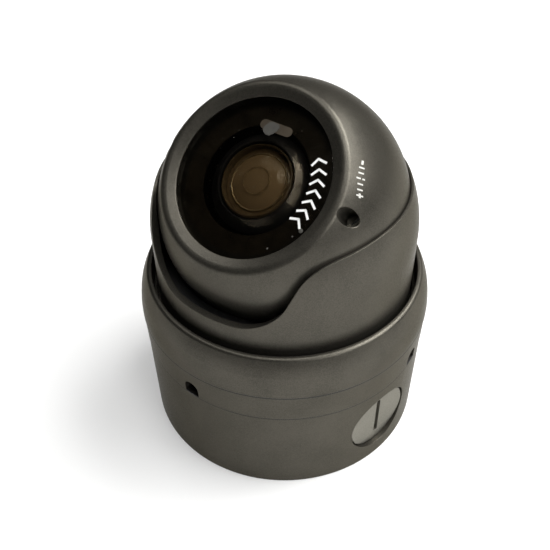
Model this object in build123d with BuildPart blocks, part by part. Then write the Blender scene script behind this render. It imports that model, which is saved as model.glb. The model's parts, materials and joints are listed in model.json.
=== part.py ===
"""Adjustable dome camera on a deep round junction box, as separate pieces.

Frame: millimetres, origin at the centre of the junction box's mounting face, +Z away
from the mounting surface, and the lens aimed towards -Y at rest. The pieces inside the
ball are drawn in the lens frame: origin at the ball's centre, z along the lens axis.
"""

import os
from math import cos, pi, radians, sin, sqrt

from build123d import *

os.makedirs("parts", exist_ok=True)

# Ball and its window; the widths of everything below follow from the ball
BALL_R = 46.1
BALL_WALL = 2.8
BALL_GAP = 0.35
BALL_FLOOR_GAP = 4.2
LENS_ELEVATION = 50.9
CREASE_ANGLE = 45.52
CREASE_ROUND = 2.6
BEVEL_W = 4.59
BEVEL_DROP = 1.7
LIP_T = 0.4
SPLIT_D = -16.0
GLASS_T = 3.0
GLASS_LEDGE = 2.0
GLASS_FIT = 0.1
FILM_T = 0.15
FILM_MARGIN = 0.2
WINDOW_SEAL_T = 0.8
RETAINER_T = 2.4
RETAINER_W = 3.3
SPANNER_NOTCH = 3.0
BARREL_WALL = 3.0
BARREL_DEPTH = 3.0

# Junction box
BOX_H = 41.0
BOX_WALL = 3.8
BOX_FLOOR = 4.0
BOX_DRAFT = 0.4
BOX_EDGE = 0.5
SEAM_EDGE = 0.25
SEAM_STEP = 0.1
CABLE_HOLE_R = 11.0
WALL_HOLE_R = 2.6
WALL_HOLE_INSET = 10.6
WALL_HOLES = 4
WALL_HOLE_START = 45.0
BASE_SCREWS = 3
BASE_SCREW_INSET = 4.6
BASE_BOSS_R = 5.2
BASE_SCREW_R = 1.7
SCREW_FIT = 0.1

# Conduit plug in the side of the box
PLUG_ANGLE = -13.0
PLUG_R = 14.1
PLUG_HEAD_T = 2.2
PLUG_THREAD_STEP = 1.7
PLUG_THREAD_L = 6.5
PLUG_SLOT_END = 4.6
PLUG_SLOT_W = 2.0
PLUG_SLOT_DEPTH = 1.4
PLUG_POCKET_GAP = 0.4
PLUG_EDGE = 0.3
PLUG_SEAL_T = 0.9
PLUG_PAD_W = 2.9
PLUG_FLOOR_GAP = 0.5
PLUG_SEAL_INSET = 0.2

# Mount base between the box and the trim ring
BASE_H = 12.5
BASE_DRAFT = 0.4
BASE_FLOOR = 4.0
GASKET_INSET = 2.4
GASKET_W = 1.4
GASKET_DEPTH = 1.2
GROMMET_R = 8.0
GROMMET_LIP = 2.0
GROMMET_LIP_T = 1.5
GROMMET_WALL = 2.5
GROMMET_CROWN = 0.5
NOTCH_W = 6.4
NOTCH_H = 6.8
NOTCH_DEPTH = 4.5
NOTCH_TURNS = (-2.7, 94.0, 177.3, 274.0)

# Pan bearing: cup flange between two slip rings
FLANGE_W = 3.4
FLANGE_T = 4.6
BEARING_FIT = 0.08
FACE_FIT = 0.1
SLIP_RING_T = 0.8
SLIP_RING_W = 2.6
SHELF_W = 6.6
SHELF_DROP = 1.5
SPIGOT_T = 1.4
SPIGOT_GAP = 0.2

# Trim ring
TRIM_WALL = 2.42
TRIM_SHOULDER_IN = 1.0
TRIM_STRAIGHT_H = 2.0
TRIM_SHOULDER_H = 9.5
TRIM_SIDE_BULGE = 0.17
TRIM_DOME_BULGE = 0.25
TRIM_TOP_H = 16.4
TRIM_MOUTH_GAP = 1.9
TRIM_CROWN_W = 1.7
TRIM_CROWN_ROUND = 1.4
TRIM_MOUTH_ROUND = 0.25
TRIM_LIP_GAP = 0.7
TRIM_LIP_T = 3.0
LOCK_SCREW_R = 1.5
LOCK_SCREW_L = 2.2

# Cup that carries the ball
CUP_OVER_BALL = 3.5
CUP_WALL = 2.5
CUP_DOME_DROP = 7.1
CUP_TAPER_DROP = 11.0
RIM_LATITUDE = 15.23
LOW_LATITUDE = 20.54
SWOOP_LOW_R = 18.0
SWOOP_SLOPE = 72.0
SWOOP_HIGH_R = 11.0
BROW_RISE = 1.7
BROW_RUN = 5.7
BROW_SLOPE = 15.0
BROW_EDGE = 0.3
SUPPORT_LATITUDE = 32.27
SUPPORT_T = 5.0
SUPPORT_FIT = 0.2
SUPPORT_LAND = 2.0
SPRING_SPAN = 4.0
SPRING_T = 1.1
SPRING_WAVES = 4
SPRING_FIT = 0.4
SHOULDER_T = 3.0
SHOULDER_W = 6.6
SKIRT_T = 1.0
SKIRT_TAPER = 3.0
CABLE_GAP_W = 18.0

# Pieces inside the ball, along the lens axis
SPIGOT_LEN = 4.0
SPIGOT_WALL = 2.4
BALL_SCREW_OUT = 1.6
BALL_SCREW_R = 1.2
BALL_BOSS_R = 3.0
BALL_CABLE_R = 6.0
CABLE_SLEEVE_T = 2.0
CABLE_SLEEVE_L = 6.0
CABLE_SLEEVE_SUNK = 0.1
SEAL_W = 1.0
SPIGOT_FIT = 0.15
REAR_BOSS_R = 3.4
BALL_SCREW_HEAD_R = 2.4
BALL_SCREW_HEAD_T = 1.8
PLATE_D = -3.0
PLATE_T = 1.5
PLATE_MARGIN = 3.2
LED_BOARD_BACK = 12.0
BOARD_T = 1.6
LED_BOARD_OVER = 0.7
LED_R = 2.4
LED_H = 5.6
LED_PITCH = 6.0
LED_INSET = 5.8
LED_DOME_ROUND = 2.16
LIGHT_SENSOR_H = 4.0
HOOD_RIM = 4.6
HOOD_FACE = 0.9
HOOD_CHAMFER = 3.2
HOOD_GAP = 0.2
HOOD_STEP = 0.5
HOOD_FOOT_T = 2.0
LENS_CLEARANCE = 0.5
LENS_R = 13.2
LENS_SETBACK = 0.4
LENS_REAR_D = -7.5
LENS_WALL = 0.7
TAIL_R = 9.0
TAIL_L = 4.5
SENSOR_BOARD_D = -19.6
MAIN_BOARD_D = -29.6
BOARD_SIDE = 38.0
POST_PITCH = 31.0
POST_R = 2.2
POST_INSET = 0.3
FILTER_T = 0.8
FILTER_L = 14.0
FILTER_W = 10.0
FILTER_TRAVEL = 6.5

# Focus and zoom drives
ADJUSTER_OUT = 3.0
ADJUSTER_HOLE_R = 2.8
ADJUSTER_HEAD_R = 2.3
ADJUSTER_HEAD_T = 1.6
ADJUSTER_SUNK = 6.7
ADJUSTER_BOSS_R = 4.4
SHAFT_R = 1.5
SHAFT_FIT = 0.05
PRESS_FIT = 0.02
BUSH_T = 4.0
ADJUSTER_SEAL_T = 0.8
PINION_TEETH = 10
GEAR_WALL = 1.8
GEAR_MODULE = 1.0
GEAR_T = 3.0
GEAR_GAP = 0.3
TOOTH_TALL = 0.70
TOOTH_DEEP = 0.95


def half_chord(radius, offset):
    """Half the width of a circle at a distance from its centre."""
    return sqrt(radius**2 - offset**2)


# Widths, from the ball out to the box
CUP_R = BALL_R + CUP_OVER_BALL
FLANGE_R = CUP_R + FLANGE_W
BASE_BORE_R = FLANGE_R + BEARING_FIT
SPIGOT_R = BASE_BORE_R + SPIGOT_T
TRIM_THREAD_R = SPIGOT_R + SCREW_FIT
TRIM_R = TRIM_THREAD_R + TRIM_WALL
TRIM_SHOULDER_R = TRIM_R - TRIM_SHOULDER_IN
TRIM_MOUTH_R = CUP_R + TRIM_MOUTH_GAP
TRIM_CROWN_R = TRIM_MOUTH_R + TRIM_CROWN_W
TRIM_LIP_R = CUP_R + TRIM_LIP_GAP
BASE_RIM_R = TRIM_R - SEAM_STEP
BASE_FOOT_R = BASE_RIM_R - BASE_DRAFT
BOX_RIM_R = BASE_FOOT_R - SEAM_STEP
BOX_FOOT_R = BOX_RIM_R - BOX_DRAFT
BOX_BORE_R = BOX_RIM_R - BOX_WALL
BASE_SCREW_RING_R = BOX_BORE_R - BASE_SCREW_INSET
WALL_HOLE_PCD = 2 * (BOX_BORE_R - WALL_HOLE_INSET)
GASKET_R = BOX_RIM_R - GASKET_INSET
PLUG_THREAD_R = PLUG_R - PLUG_THREAD_STEP
PLUG_PAD_R = PLUG_R + PLUG_PAD_W
PLUG_Z = BOX_FLOOR + PLUG_PAD_R + PLUG_FLOOR_GAP
PLUG_FACE_D = half_chord(BOX_FOOT_R, PLUG_R + PLUG_POCKET_GAP)
PLUG_SEAT_D = PLUG_FACE_D - PLUG_HEAD_T - PLUG_SEAL_T

# Heights, from the mounting face up to the ball
BASE_TOP = BOX_H + BASE_H
FLOOR_TOP = BOX_H + BASE_FLOOR
SHELF_Z = BASE_TOP - SHELF_DROP
FLANGE_Z = SHELF_Z + SLIP_RING_T + FACE_FIT
FLANGE_TOP = FLANGE_Z + FLANGE_T
TRIM_LIP_Z = FLANGE_TOP + SLIP_RING_T + FACE_FIT
SPIGOT_TOP = TRIM_LIP_Z - SPIGOT_GAP
BALL_Z = FLOOR_TOP + BALL_FLOOR_GAP + BALL_R
BALL_BORE_R = BALL_R - BALL_WALL
BALL_SEAT_R = BALL_R + BALL_GAP
CUP_DOME_Z = BALL_Z - CUP_DOME_DROP
CUP_RIM_Z = BALL_Z + BALL_SEAT_R * sin(radians(RIM_LATITUDE))
CUP_LOW_Z = BALL_Z - BALL_SEAT_R * sin(radians(LOW_LATITUDE))
SUPPORT_Z = BALL_Z - BALL_SEAT_R * sin(radians(SUPPORT_LATITUDE))
SHOULDER_TOP = SUPPORT_Z - SPRING_SPAN
SHOULDER_Z = SHOULDER_TOP - SHOULDER_T
CUP_BORE_R = CUP_R - CUP_WALL
SHOULDER_R = CUP_BORE_R - SHOULDER_W

# Places along the lens axis, measured from the ball's centre
CREASE_D = BALL_R * cos(radians(CREASE_ANGLE))
CREASE_R = BALL_R * sin(radians(CREASE_ANGLE))
MOUTH_R = CREASE_R - BEVEL_W
MOUTH_D = CREASE_D - BEVEL_DROP
GLASS_R = MOUTH_R + GLASS_LEDGE
GLASS_TOP_D = MOUTH_D - LIP_T
GLASS_LOW_D = GLASS_TOP_D - GLASS_T
RETAINER_D = GLASS_LOW_D - WINDOW_SEAL_T - RETAINER_T
BARREL_D = RETAINER_D - BARREL_DEPTH
BARREL_R = GLASS_R + GLASS_FIT + BARREL_WALL
BALL_SCREW_RING_R = BARREL_R + BALL_SCREW_OUT
PLATE_R = half_chord(BALL_BORE_R, PLATE_D) - PLATE_MARGIN
LED_BOARD_D = RETAINER_D - LED_BOARD_BACK
LED_BOARD_R = MOUTH_R + LED_BOARD_OVER
LED_RING_R = LED_BOARD_R - LED_INSET
LED_PLACES = round(2 * pi * LED_RING_R / LED_PITCH)
HOOD_R = LENS_R + HOOD_RIM
HOOD_FACE_R = LENS_R + HOOD_FACE
HOOD_FACE_D = GLASS_LOW_D - HOOD_GAP
LENS_FRONT_D = HOOD_FACE_D - LENS_SETBACK
ADJUSTER_OFFSET = BARREL_R + ADJUSTER_OUT
ADJUSTER_FACE_D = half_chord(BALL_R, ADJUSTER_OFFSET) - ADJUSTER_SUNK
RING_TEETH = 2 * round((LENS_R + GEAR_WALL) / GEAR_MODULE)
IDLER_ROOM = ADJUSTER_OFFSET / GEAR_MODULE - (RING_TEETH + PINION_TEETH) / 2
IDLER_TEETH = 2 * round(IDLER_ROOM / 2)
MODULE = 2 * ADJUSTER_OFFSET / (RING_TEETH + 2 * IDLER_TEETH + PINION_TEETH)
IDLER_OFFSET = MODULE * (RING_TEETH + IDLER_TEETH) / 2
FOCUS_GEAR_D = PLATE_D + PLATE_T + GEAR_GAP
ZOOM_GEAR_D = PLATE_D - GEAR_GAP - GEAR_T

# Working frames
ELEV = radians(LENS_ELEVATION)
BALL_CENTRE = (0, 0, BALL_Z)
LENS_DIR = (0, -cos(ELEV), sin(ELEV))
LENS = Plane(origin=BALL_CENTRE, x_dir=(1, 0, 0), z_dir=LENS_DIR)
LENS_SECTION = Plane(origin=BALL_CENTRE, x_dir=(1, 0, 0), z_dir=(0, -sin(ELEV), -cos(ELEV)))
LENS_AXIS = Axis(BALL_CENTRE, LENS_DIR)
PLUG_DIR = (cos(radians(PLUG_ANGLE)), sin(radians(PLUG_ANGLE)), 0)
PLUG_X = (-sin(radians(PLUG_ANGLE)), cos(radians(PLUG_ANGLE)), 0)
PLUG = Plane(origin=(0, 0, PLUG_Z), x_dir=PLUG_X, z_dir=PLUG_DIR)


def save(part, name):
    """Label a finished piece and write it as one STEP file."""
    part.label = name
    export_step(part, f"parts/{name}.step")


def ring(plane, low, inner_r, outer_r, thickness):
    """A flat ring that starts at height low above the plane."""
    with BuildPart() as washer:
        with BuildSketch(plane.offset(low)):
            Circle(outer_r)
            Circle(inner_r, mode=Mode.SUBTRACT)
        extrude(amount=thickness)
    return washer.part


# ---------------------------------------------------------------- junction box
BASE_SCREW_START = 30.0
BASE_SCREW_SPOTS = PolarLocations(BASE_SCREW_RING_R, BASE_SCREWS, start_angle=BASE_SCREW_START)
PILOT_DEPTH = 14.0

with BuildPart() as junction_box:
    with BuildSketch(Plane.XZ):
        Polygon((0, 0), (BOX_FOOT_R, 0), (BOX_RIM_R, BOX_H), (0, BOX_H), align=None)
    revolve(axis=Axis.Z)
    chamfer(junction_box.edges().filter_by(GeomType.CIRCLE).sort_by(Axis.Z)[0], BOX_EDGE)
    chamfer(junction_box.edges().filter_by(GeomType.CIRCLE).sort_by(Axis.Z)[-1], SEAM_EDGE)
    with BuildSketch(Plane.XY.offset(BOX_FLOOR)):
        Circle(BOX_BORE_R)
    extrude(amount=BOX_H, mode=Mode.SUBTRACT)
    # Bosses that take the mount base's screws, and the thick pad round the conduit thread
    with BuildSketch(Plane.XY.offset(BOX_FLOOR)):
        with BASE_SCREW_SPOTS:
            Circle(BASE_BOSS_R)
    extrude(amount=BOX_H - BOX_FLOOR)
    with BuildSketch(PLUG.offset(PLUG_SEAT_D - PLUG_THREAD_L)):
        Circle(PLUG_PAD_R)
    extrude(amount=PLUG_THREAD_L)
    with BuildSketch(PLUG.offset(PLUG_SEAT_D)):
        Circle(PLUG_R + PLUG_POCKET_GAP)
    extrude(amount=BOX_WALL * 2, mode=Mode.SUBTRACT)
    with BuildSketch(PLUG.offset(PLUG_SEAT_D - PLUG_THREAD_L)):
        Circle(PLUG_THREAD_R + SCREW_FIT)
    extrude(amount=PLUG_THREAD_L * 2, mode=Mode.SUBTRACT)
    with BuildSketch(Plane.XY.offset(BOX_H - PILOT_DEPTH)):
        with BASE_SCREW_SPOTS:
            Circle(BASE_SCREW_R + SCREW_FIT)
    extrude(amount=PILOT_DEPTH, mode=Mode.SUBTRACT)
    # Cable hole, wall screw holes and the gasket groove in the rim
    with BuildSketch(Plane.XY):
        Circle(CABLE_HOLE_R)
        with PolarLocations(WALL_HOLE_PCD / 2, WALL_HOLES, start_angle=WALL_HOLE_START):
            Circle(WALL_HOLE_R)
    extrude(amount=BOX_FLOOR, mode=Mode.SUBTRACT)
    with BuildSketch(Plane.XY.offset(BOX_H - GASKET_DEPTH)):
        Circle(GASKET_R + GASKET_W / 2)
        Circle(GASKET_R - GASKET_W / 2, mode=Mode.SUBTRACT)
    extrude(amount=GASKET_DEPTH, mode=Mode.SUBTRACT)
save(junction_box.part, "junction_box")

gasket_low = BOX_H - GASKET_DEPTH
gasket_in = GASKET_R - GASKET_W / 2
save(ring(Plane.XY, gasket_low, gasket_in, gasket_in + GASKET_W, GASKET_DEPTH), "box_gasket")

# ---------------------------------------------------------------- conduit plug
with BuildPart() as conduit_plug:
    with BuildSketch(PLUG.offset(PLUG_FACE_D - PLUG_HEAD_T)):
        Circle(PLUG_R)
    extrude(amount=PLUG_HEAD_T)
    chamfer(conduit_plug.faces().sort_by(Axis((0, 0, 0), PLUG_DIR))[-1].edges(), PLUG_EDGE)
    with BuildSketch(PLUG.offset(PLUG_SEAT_D - PLUG_THREAD_L)):
        Circle(PLUG_THREAD_R)
    extrude(amount=PLUG_THREAD_L + PLUG_SEAL_T)
    with BuildSketch(PLUG.offset(PLUG_FACE_D - PLUG_SLOT_DEPTH)):
        SlotOverall(2 * (PLUG_R - PLUG_SLOT_END), PLUG_SLOT_W, rotation=90)
    extrude(amount=PLUG_SLOT_DEPTH, mode=Mode.SUBTRACT)
save(conduit_plug.part, "conduit_plug")
plug_seal_r = PLUG_R - PLUG_SEAL_INSET
save(ring(PLUG, PLUG_SEAT_D, PLUG_THREAD_R, plug_seal_r, PLUG_SEAL_T), "conduit_plug_seal")

# ---------------------------------------------------------------- mount base
SHELF_R = BASE_BORE_R - SHELF_W
SCREW_HEAD_R = BASE_SCREW_R + 1.53
SCREW_SEAT_Z = BOX_H + BASE_FLOOR / 2

with BuildPart() as mount_base:
    with BuildSketch(Plane.XZ):
        Polygon(
            (GROMMET_R, BOX_H),
            (BASE_FOOT_R - SEAM_EDGE, BOX_H),
            (BASE_FOOT_R, BOX_H + SEAM_EDGE),
            (BASE_RIM_R, BASE_TOP - SEAM_EDGE),
            (BASE_RIM_R - SEAM_EDGE, BASE_TOP),
            (SPIGOT_R, BASE_TOP),
            (SPIGOT_R, SPIGOT_TOP),
            (BASE_BORE_R, SPIGOT_TOP),
            (BASE_BORE_R, SHELF_Z),
            (SHELF_R, SHELF_Z),
            (SHELF_R, FLOOR_TOP),
            (GROMMET_R, FLOOR_TOP),
            align=None,
        )
    revolve(axis=Axis.Z)
    with BuildSketch(Plane.XY.offset(BOX_H)):
        with BASE_SCREW_SPOTS:
            Circle(BASE_SCREW_R + SCREW_FIT)
    extrude(amount=BASE_H, mode=Mode.SUBTRACT)
    with BuildSketch(Plane.XY.offset(SCREW_SEAT_Z)):
        with BASE_SCREW_SPOTS:
            Circle(SCREW_HEAD_R + SCREW_FIT * 2)
    extrude(amount=BASE_H, mode=Mode.SUBTRACT)
    # Arched prying notches in the foot of the wall
    for turn in NOTCH_TURNS:
        notch_face = Plane.XZ.rotated((0, 0, turn)).offset(BASE_FOOT_R - NOTCH_DEPTH)
        with BuildSketch(notch_face):
            with Locations((0, BOX_H + NOTCH_H - NOTCH_W / 2)):
                Circle(NOTCH_W / 2)
            with Locations((0, BOX_H + (NOTCH_H - NOTCH_W / 2) / 2)):
                Rectangle(NOTCH_W, NOTCH_H - NOTCH_W / 2)
        extrude(amount=NOTCH_DEPTH * 2, mode=Mode.SUBTRACT)
save(mount_base.part, "mount_base")

SCREW_HEAD_T = 2.2
SCREW_LENGTH = 12.0
CROSS_W = 0.7
CROSS_ROUND = 0.2
with BuildPart() as mount_base_screws:
    with BuildSketch(Plane.XY.offset(SCREW_SEAT_Z)):
        with BASE_SCREW_SPOTS:
            Circle(SCREW_HEAD_R)
    extrude(amount=SCREW_HEAD_T)
    with BuildSketch(Plane.XY.offset(SCREW_SEAT_Z - SCREW_LENGTH)):
        with BASE_SCREW_SPOTS:
            Circle(BASE_SCREW_R)
    extrude(amount=SCREW_LENGTH)
    with BuildSketch(Plane.XY.offset(SCREW_SEAT_Z + SCREW_HEAD_T / 2)):
        with BASE_SCREW_SPOTS:
            RectangleRounded(BASE_SCREW_R * 2, CROSS_W, CROSS_ROUND)
            RectangleRounded(CROSS_W, BASE_SCREW_R * 2, CROSS_ROUND)
    extrude(amount=SCREW_HEAD_T, mode=Mode.SUBTRACT)
save(mount_base_screws.part, "mount_base_screws")

GROMMET_BORE_R = GROMMET_R - GROMMET_WALL
with BuildPart() as cable_grommet:
    with BuildSketch(Plane.XZ):
        Polygon(
            (GROMMET_BORE_R, BOX_H - GROMMET_LIP_T),
            (GROMMET_R + GROMMET_LIP, BOX_H - GROMMET_LIP_T),
            (GROMMET_R + GROMMET_LIP, BOX_H),
            (GROMMET_R, BOX_H),
            (GROMMET_R, FLOOR_TOP),
            (GROMMET_R + GROMMET_LIP, FLOOR_TOP),
            (GROMMET_R + GROMMET_CROWN, FLOOR_TOP + GROMMET_LIP_T),
            (GROMMET_BORE_R, FLOOR_TOP + GROMMET_LIP_T),
            align=None,
        )
    revolve(axis=Axis.Z)
save(cable_grommet.part, "cable_grommet")

# ---------------------------------------------------------------- pan bearing
slip_in = FLANGE_R - SLIP_RING_W
save(ring(Plane.XY, SHELF_Z, slip_in, FLANGE_R, SLIP_RING_T), "lower_slip_ring")
save(ring(Plane.XY, TRIM_LIP_Z - SLIP_RING_T, slip_in, FLANGE_R, SLIP_RING_T), "upper_slip_ring")

# ---------------------------------------------------------------- trim ring
TRIM_SHOULDER_Z = BASE_TOP + TRIM_SHOULDER_H
TRIM_TOP = BASE_TOP + TRIM_TOP_H
TRIM_STRAIGHT_Z = BASE_TOP + TRIM_STRAIGHT_H
SIDE_MID = ((TRIM_R + TRIM_SHOULDER_R) / 2 + TRIM_SIDE_BULGE, (TRIM_STRAIGHT_Z + TRIM_SHOULDER_Z) / 2)
DOME_MID = ((TRIM_SHOULDER_R + TRIM_CROWN_R) / 2 + TRIM_DOME_BULGE, (TRIM_SHOULDER_Z + TRIM_TOP) / 2)
LOCK_Z = (BASE_TOP + SPIGOT_TOP) / 2
LOCK = Plane(origin=(0, 0, LOCK_Z), x_dir=(1, 0, 0), z_dir=(0, 1, 0))
LOCK_INNER = SPIGOT_R + SCREW_FIT

with BuildPart() as trim_ring:
    with BuildSketch(Plane.XZ):
        with BuildLine():
            Polyline(
                (TRIM_THREAD_R, BASE_TOP),
                (TRIM_R - SEAM_EDGE, BASE_TOP),
                (TRIM_R, BASE_TOP + SEAM_EDGE),
                (TRIM_R, TRIM_STRAIGHT_Z),
            )
            ThreePointArc((TRIM_R, TRIM_STRAIGHT_Z), SIDE_MID, (TRIM_SHOULDER_R, TRIM_SHOULDER_Z))
            ThreePointArc((TRIM_SHOULDER_R, TRIM_SHOULDER_Z), DOME_MID, (TRIM_CROWN_R, TRIM_TOP))
            Polyline(
                (TRIM_CROWN_R, TRIM_TOP),
                (TRIM_MOUTH_R, TRIM_TOP),
                (TRIM_MOUTH_R, TRIM_LIP_Z + TRIM_LIP_T),
                (TRIM_LIP_R, TRIM_LIP_Z + TRIM_LIP_T),
                (TRIM_LIP_R, TRIM_LIP_Z),
                (TRIM_THREAD_R, TRIM_LIP_Z),
                (TRIM_THREAD_R, BASE_TOP),
            )
        make_face()
    revolve(axis=Axis.Z)
    crown = trim_ring.edges().filter_by(GeomType.CIRCLE).group_by(Axis.Z)[-1]
    fillet(crown.sort_by(SortBy.RADIUS)[-1], TRIM_CROWN_ROUND)
    mouth = trim_ring.edges().filter_by(GeomType.CIRCLE).group_by(Axis.Z)[-1]
    fillet(mouth.sort_by(SortBy.RADIUS)[0], TRIM_MOUTH_ROUND)
    with BuildSketch(LOCK.offset(LOCK_INNER)):
        Circle(LOCK_SCREW_R + SCREW_FIT)
    extrude(amount=TRIM_R, mode=Mode.SUBTRACT)
save(trim_ring.part, "trim_ring")

with BuildPart() as trim_lock_screw:
    with BuildSketch(LOCK.offset(LOCK_INNER)):
        Circle(LOCK_SCREW_R)
    extrude(amount=LOCK_SCREW_L)
    with BuildSketch(LOCK.offset(LOCK_INNER + LOCK_SCREW_L / 2)):
        RegularPolygon(LOCK_SCREW_R / 2, 6)
    extrude(amount=LOCK_SCREW_L, mode=Mode.SUBTRACT)
save(trim_lock_screw.part, "trim_lock_screw")

# ---------------------------------------------------------------- cup
RIM_R = half_chord(CUP_R, CUP_RIM_Z - CUP_DOME_Z)
RIM_MID_Z = (CUP_RIM_Z + CUP_DOME_Z) / 2
RIM_MID_R = half_chord(CUP_R, RIM_MID_Z - CUP_DOME_Z)
SEAT_RIM_R = half_chord(BALL_SEAT_R, CUP_RIM_Z - BALL_Z)
SEAT_MID_Z = (CUP_RIM_Z + BALL_Z) / 2
SEAT_MID_R = half_chord(BALL_SEAT_R, SEAT_MID_Z - BALL_Z)
CUP_TAPER_Z = BALL_Z - CUP_TAPER_DROP

STEEP = radians(SWOOP_SLOPE)
SHALLOW = radians(BROW_SLOPE)
ARC_RISE = SWOOP_LOW_R * (1 - cos(STEEP)) + SWOOP_HIGH_R * (cos(SHALLOW) - cos(STEEP))
ARC_RUN = SWOOP_LOW_R * sin(STEEP) + SWOOP_HIGH_R * (sin(STEEP) - sin(SHALLOW))
SWOOP_STRAIGHT = (CUP_RIM_Z - CUP_LOW_Z - BROW_RISE - ARC_RISE) / sin(STEEP)
BROW_END_X = SEAT_RIM_R - BROW_EDGE
SWOOP_HALF_FLAT = BROW_END_X - BROW_RUN - ARC_RUN - SWOOP_STRAIGHT * cos(STEEP)

with BuildPart() as cup:
    with BuildSketch(Plane.XZ):
        with BuildLine():
            Polyline(
                (SHOULDER_R, SHOULDER_TOP),
                (SHOULDER_R, SHOULDER_Z),
                (CUP_BORE_R - SKIRT_T, SHOULDER_Z - SKIRT_TAPER),
                (CUP_BORE_R - SKIRT_T, FLANGE_Z),
                (FLANGE_R, FLANGE_Z),
                (FLANGE_R, FLANGE_TOP),
                (CUP_R, FLANGE_TOP),
                (CUP_R, CUP_DOME_Z),
            )
            ThreePointArc((CUP_R, CUP_DOME_Z), (RIM_MID_R, RIM_MID_Z), (RIM_R, CUP_RIM_Z))
            Line((RIM_R, CUP_RIM_Z), (SEAT_RIM_R, CUP_RIM_Z))
            ThreePointArc((SEAT_RIM_R, CUP_RIM_Z), (SEAT_MID_R, SEAT_MID_Z), (BALL_SEAT_R, BALL_Z))
            Polyline(
                (BALL_SEAT_R, BALL_Z),
                (CUP_BORE_R, CUP_TAPER_Z),
                (CUP_BORE_R, SHOULDER_TOP),
                (SHOULDER_R, SHOULDER_TOP),
            )
        make_face()
    revolve(axis=Axis.Z)
    # The rim dips at the front in one smooth swoop so that the lens can look low
    with BuildSketch(Plane.XZ):
        with BuildLine() as swoop:
            floor = Line((0, CUP_LOW_Z), (SWOOP_HALF_FLAT, CUP_LOW_Z))
            low = JernArc(floor @ 1, floor % 1, SWOOP_LOW_R, SWOOP_SLOPE)
            rise = Line(low @ 1, (low @ 1) + (low % 1) * SWOOP_STRAIGHT)
            high = JernArc(rise @ 1, rise % 1, SWOOP_HIGH_R, BROW_SLOPE - SWOOP_SLOPE)
            brow = Line(high @ 1, (BROW_END_X, CUP_RIM_Z))
            Polyline(brow @ 1, (BROW_END_X, BALL_Z + BALL_R), (0, BALL_Z + BALL_R), floor @ 0)
        make_face()
        mirror(about=Plane.YZ)
    extrude(amount=CUP_R * 2, mode=Mode.SUBTRACT)
save(cup.part, "cup")

# ---------------------------------------------------------------- ball support
SUPPORT_OUT_R = CUP_BORE_R - SUPPORT_FIT
SUPPORT_IN_R = half_chord(BALL_SEAT_R, BALL_Z - SUPPORT_Z) - SUPPORT_LAND
with BuildPart() as ball_support_ring:
    with BuildSketch(Plane.XY.offset(SUPPORT_Z)):
        Circle(SUPPORT_OUT_R)
        Circle(SUPPORT_IN_R, mode=Mode.SUBTRACT)
    extrude(amount=SUPPORT_T)
    with Locations((0, 0, BALL_Z)):
        Sphere(BALL_SEAT_R, mode=Mode.SUBTRACT)
    with Locations((0, CUP_R, SUPPORT_Z + SUPPORT_T / 2)):
        Box(CABLE_GAP_W, CUP_R, SUPPORT_T * 2, mode=Mode.SUBTRACT)
save(ball_support_ring.part, "ball_support_ring")

with BuildPart() as wave_spring:
    with BuildSketch(Plane.XY.offset(SHOULDER_TOP)):
        Circle(SUPPORT_OUT_R - SPRING_FIT)
        Circle(SHOULDER_R + SPRING_FIT, mode=Mode.SUBTRACT)
    extrude(amount=SPRING_SPAN)
    # Scallops from below and above, half a wave apart, leave one wavy strip
    scallop = SPRING_SPAN - SPRING_T
    half_wave = SHOULDER_R * sin(radians(90 / SPRING_WAVES))
    arc_r = (half_wave**2 + scallop**2) / (2 * scallop)
    for wave in range(SPRING_WAVES):
        low_face = Plane.XZ.rotated((0, 0, (wave + 0.5) * 360 / SPRING_WAVES))
        with BuildSketch(low_face.offset(SHOULDER_R / 2)):
            with Locations((0, SHOULDER_TOP + scallop - arc_r)):
                Circle(arc_r)
        extrude(amount=CUP_R, mode=Mode.SUBTRACT)
        high_face = Plane.XZ.rotated((0, 0, wave * 360 / SPRING_WAVES))
        with BuildSketch(high_face.offset(SHOULDER_R / 2)):
            with Locations((0, SUPPORT_Z - scallop + arc_r)):
                Circle(arc_r)
        extrude(amount=CUP_R, mode=Mode.SUBTRACT)
save(wave_spring.part, "wave_spring")

# ---------------------------------------------------------------- ball, front shell
SPLIT_R = half_chord(BALL_R, SPLIT_D)
SPLIT_BORE_R = half_chord(BALL_BORE_R, SPLIT_D)
BARREL_JOIN_D = half_chord(BALL_BORE_R, BARREL_R)
BOSS_FOOT_D = SPLIT_D + SPIGOT_LEN
SCREW_TIP_D = -2.0
PLATE_PILOT_L = 9.0
BALL_SCREW_SPOTS = PolarLocations(BALL_SCREW_RING_R, 3, start_angle=90)
PLATE_SCREW_SPOTS = PolarLocations(BALL_SCREW_RING_R, 3, start_angle=30)
ADJUSTER_SPOTS = Locations((ADJUSTER_OFFSET, 0), (-ADJUSTER_OFFSET, 0))
BUSH_TOP_D = ADJUSTER_FACE_D - ADJUSTER_HEAD_T - ADJUSTER_SEAL_T - FACE_FIT
BUSH_D = BUSH_TOP_D - BUSH_T
SEAL_R = (SPLIT_R + SPLIT_BORE_R) / 2

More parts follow.
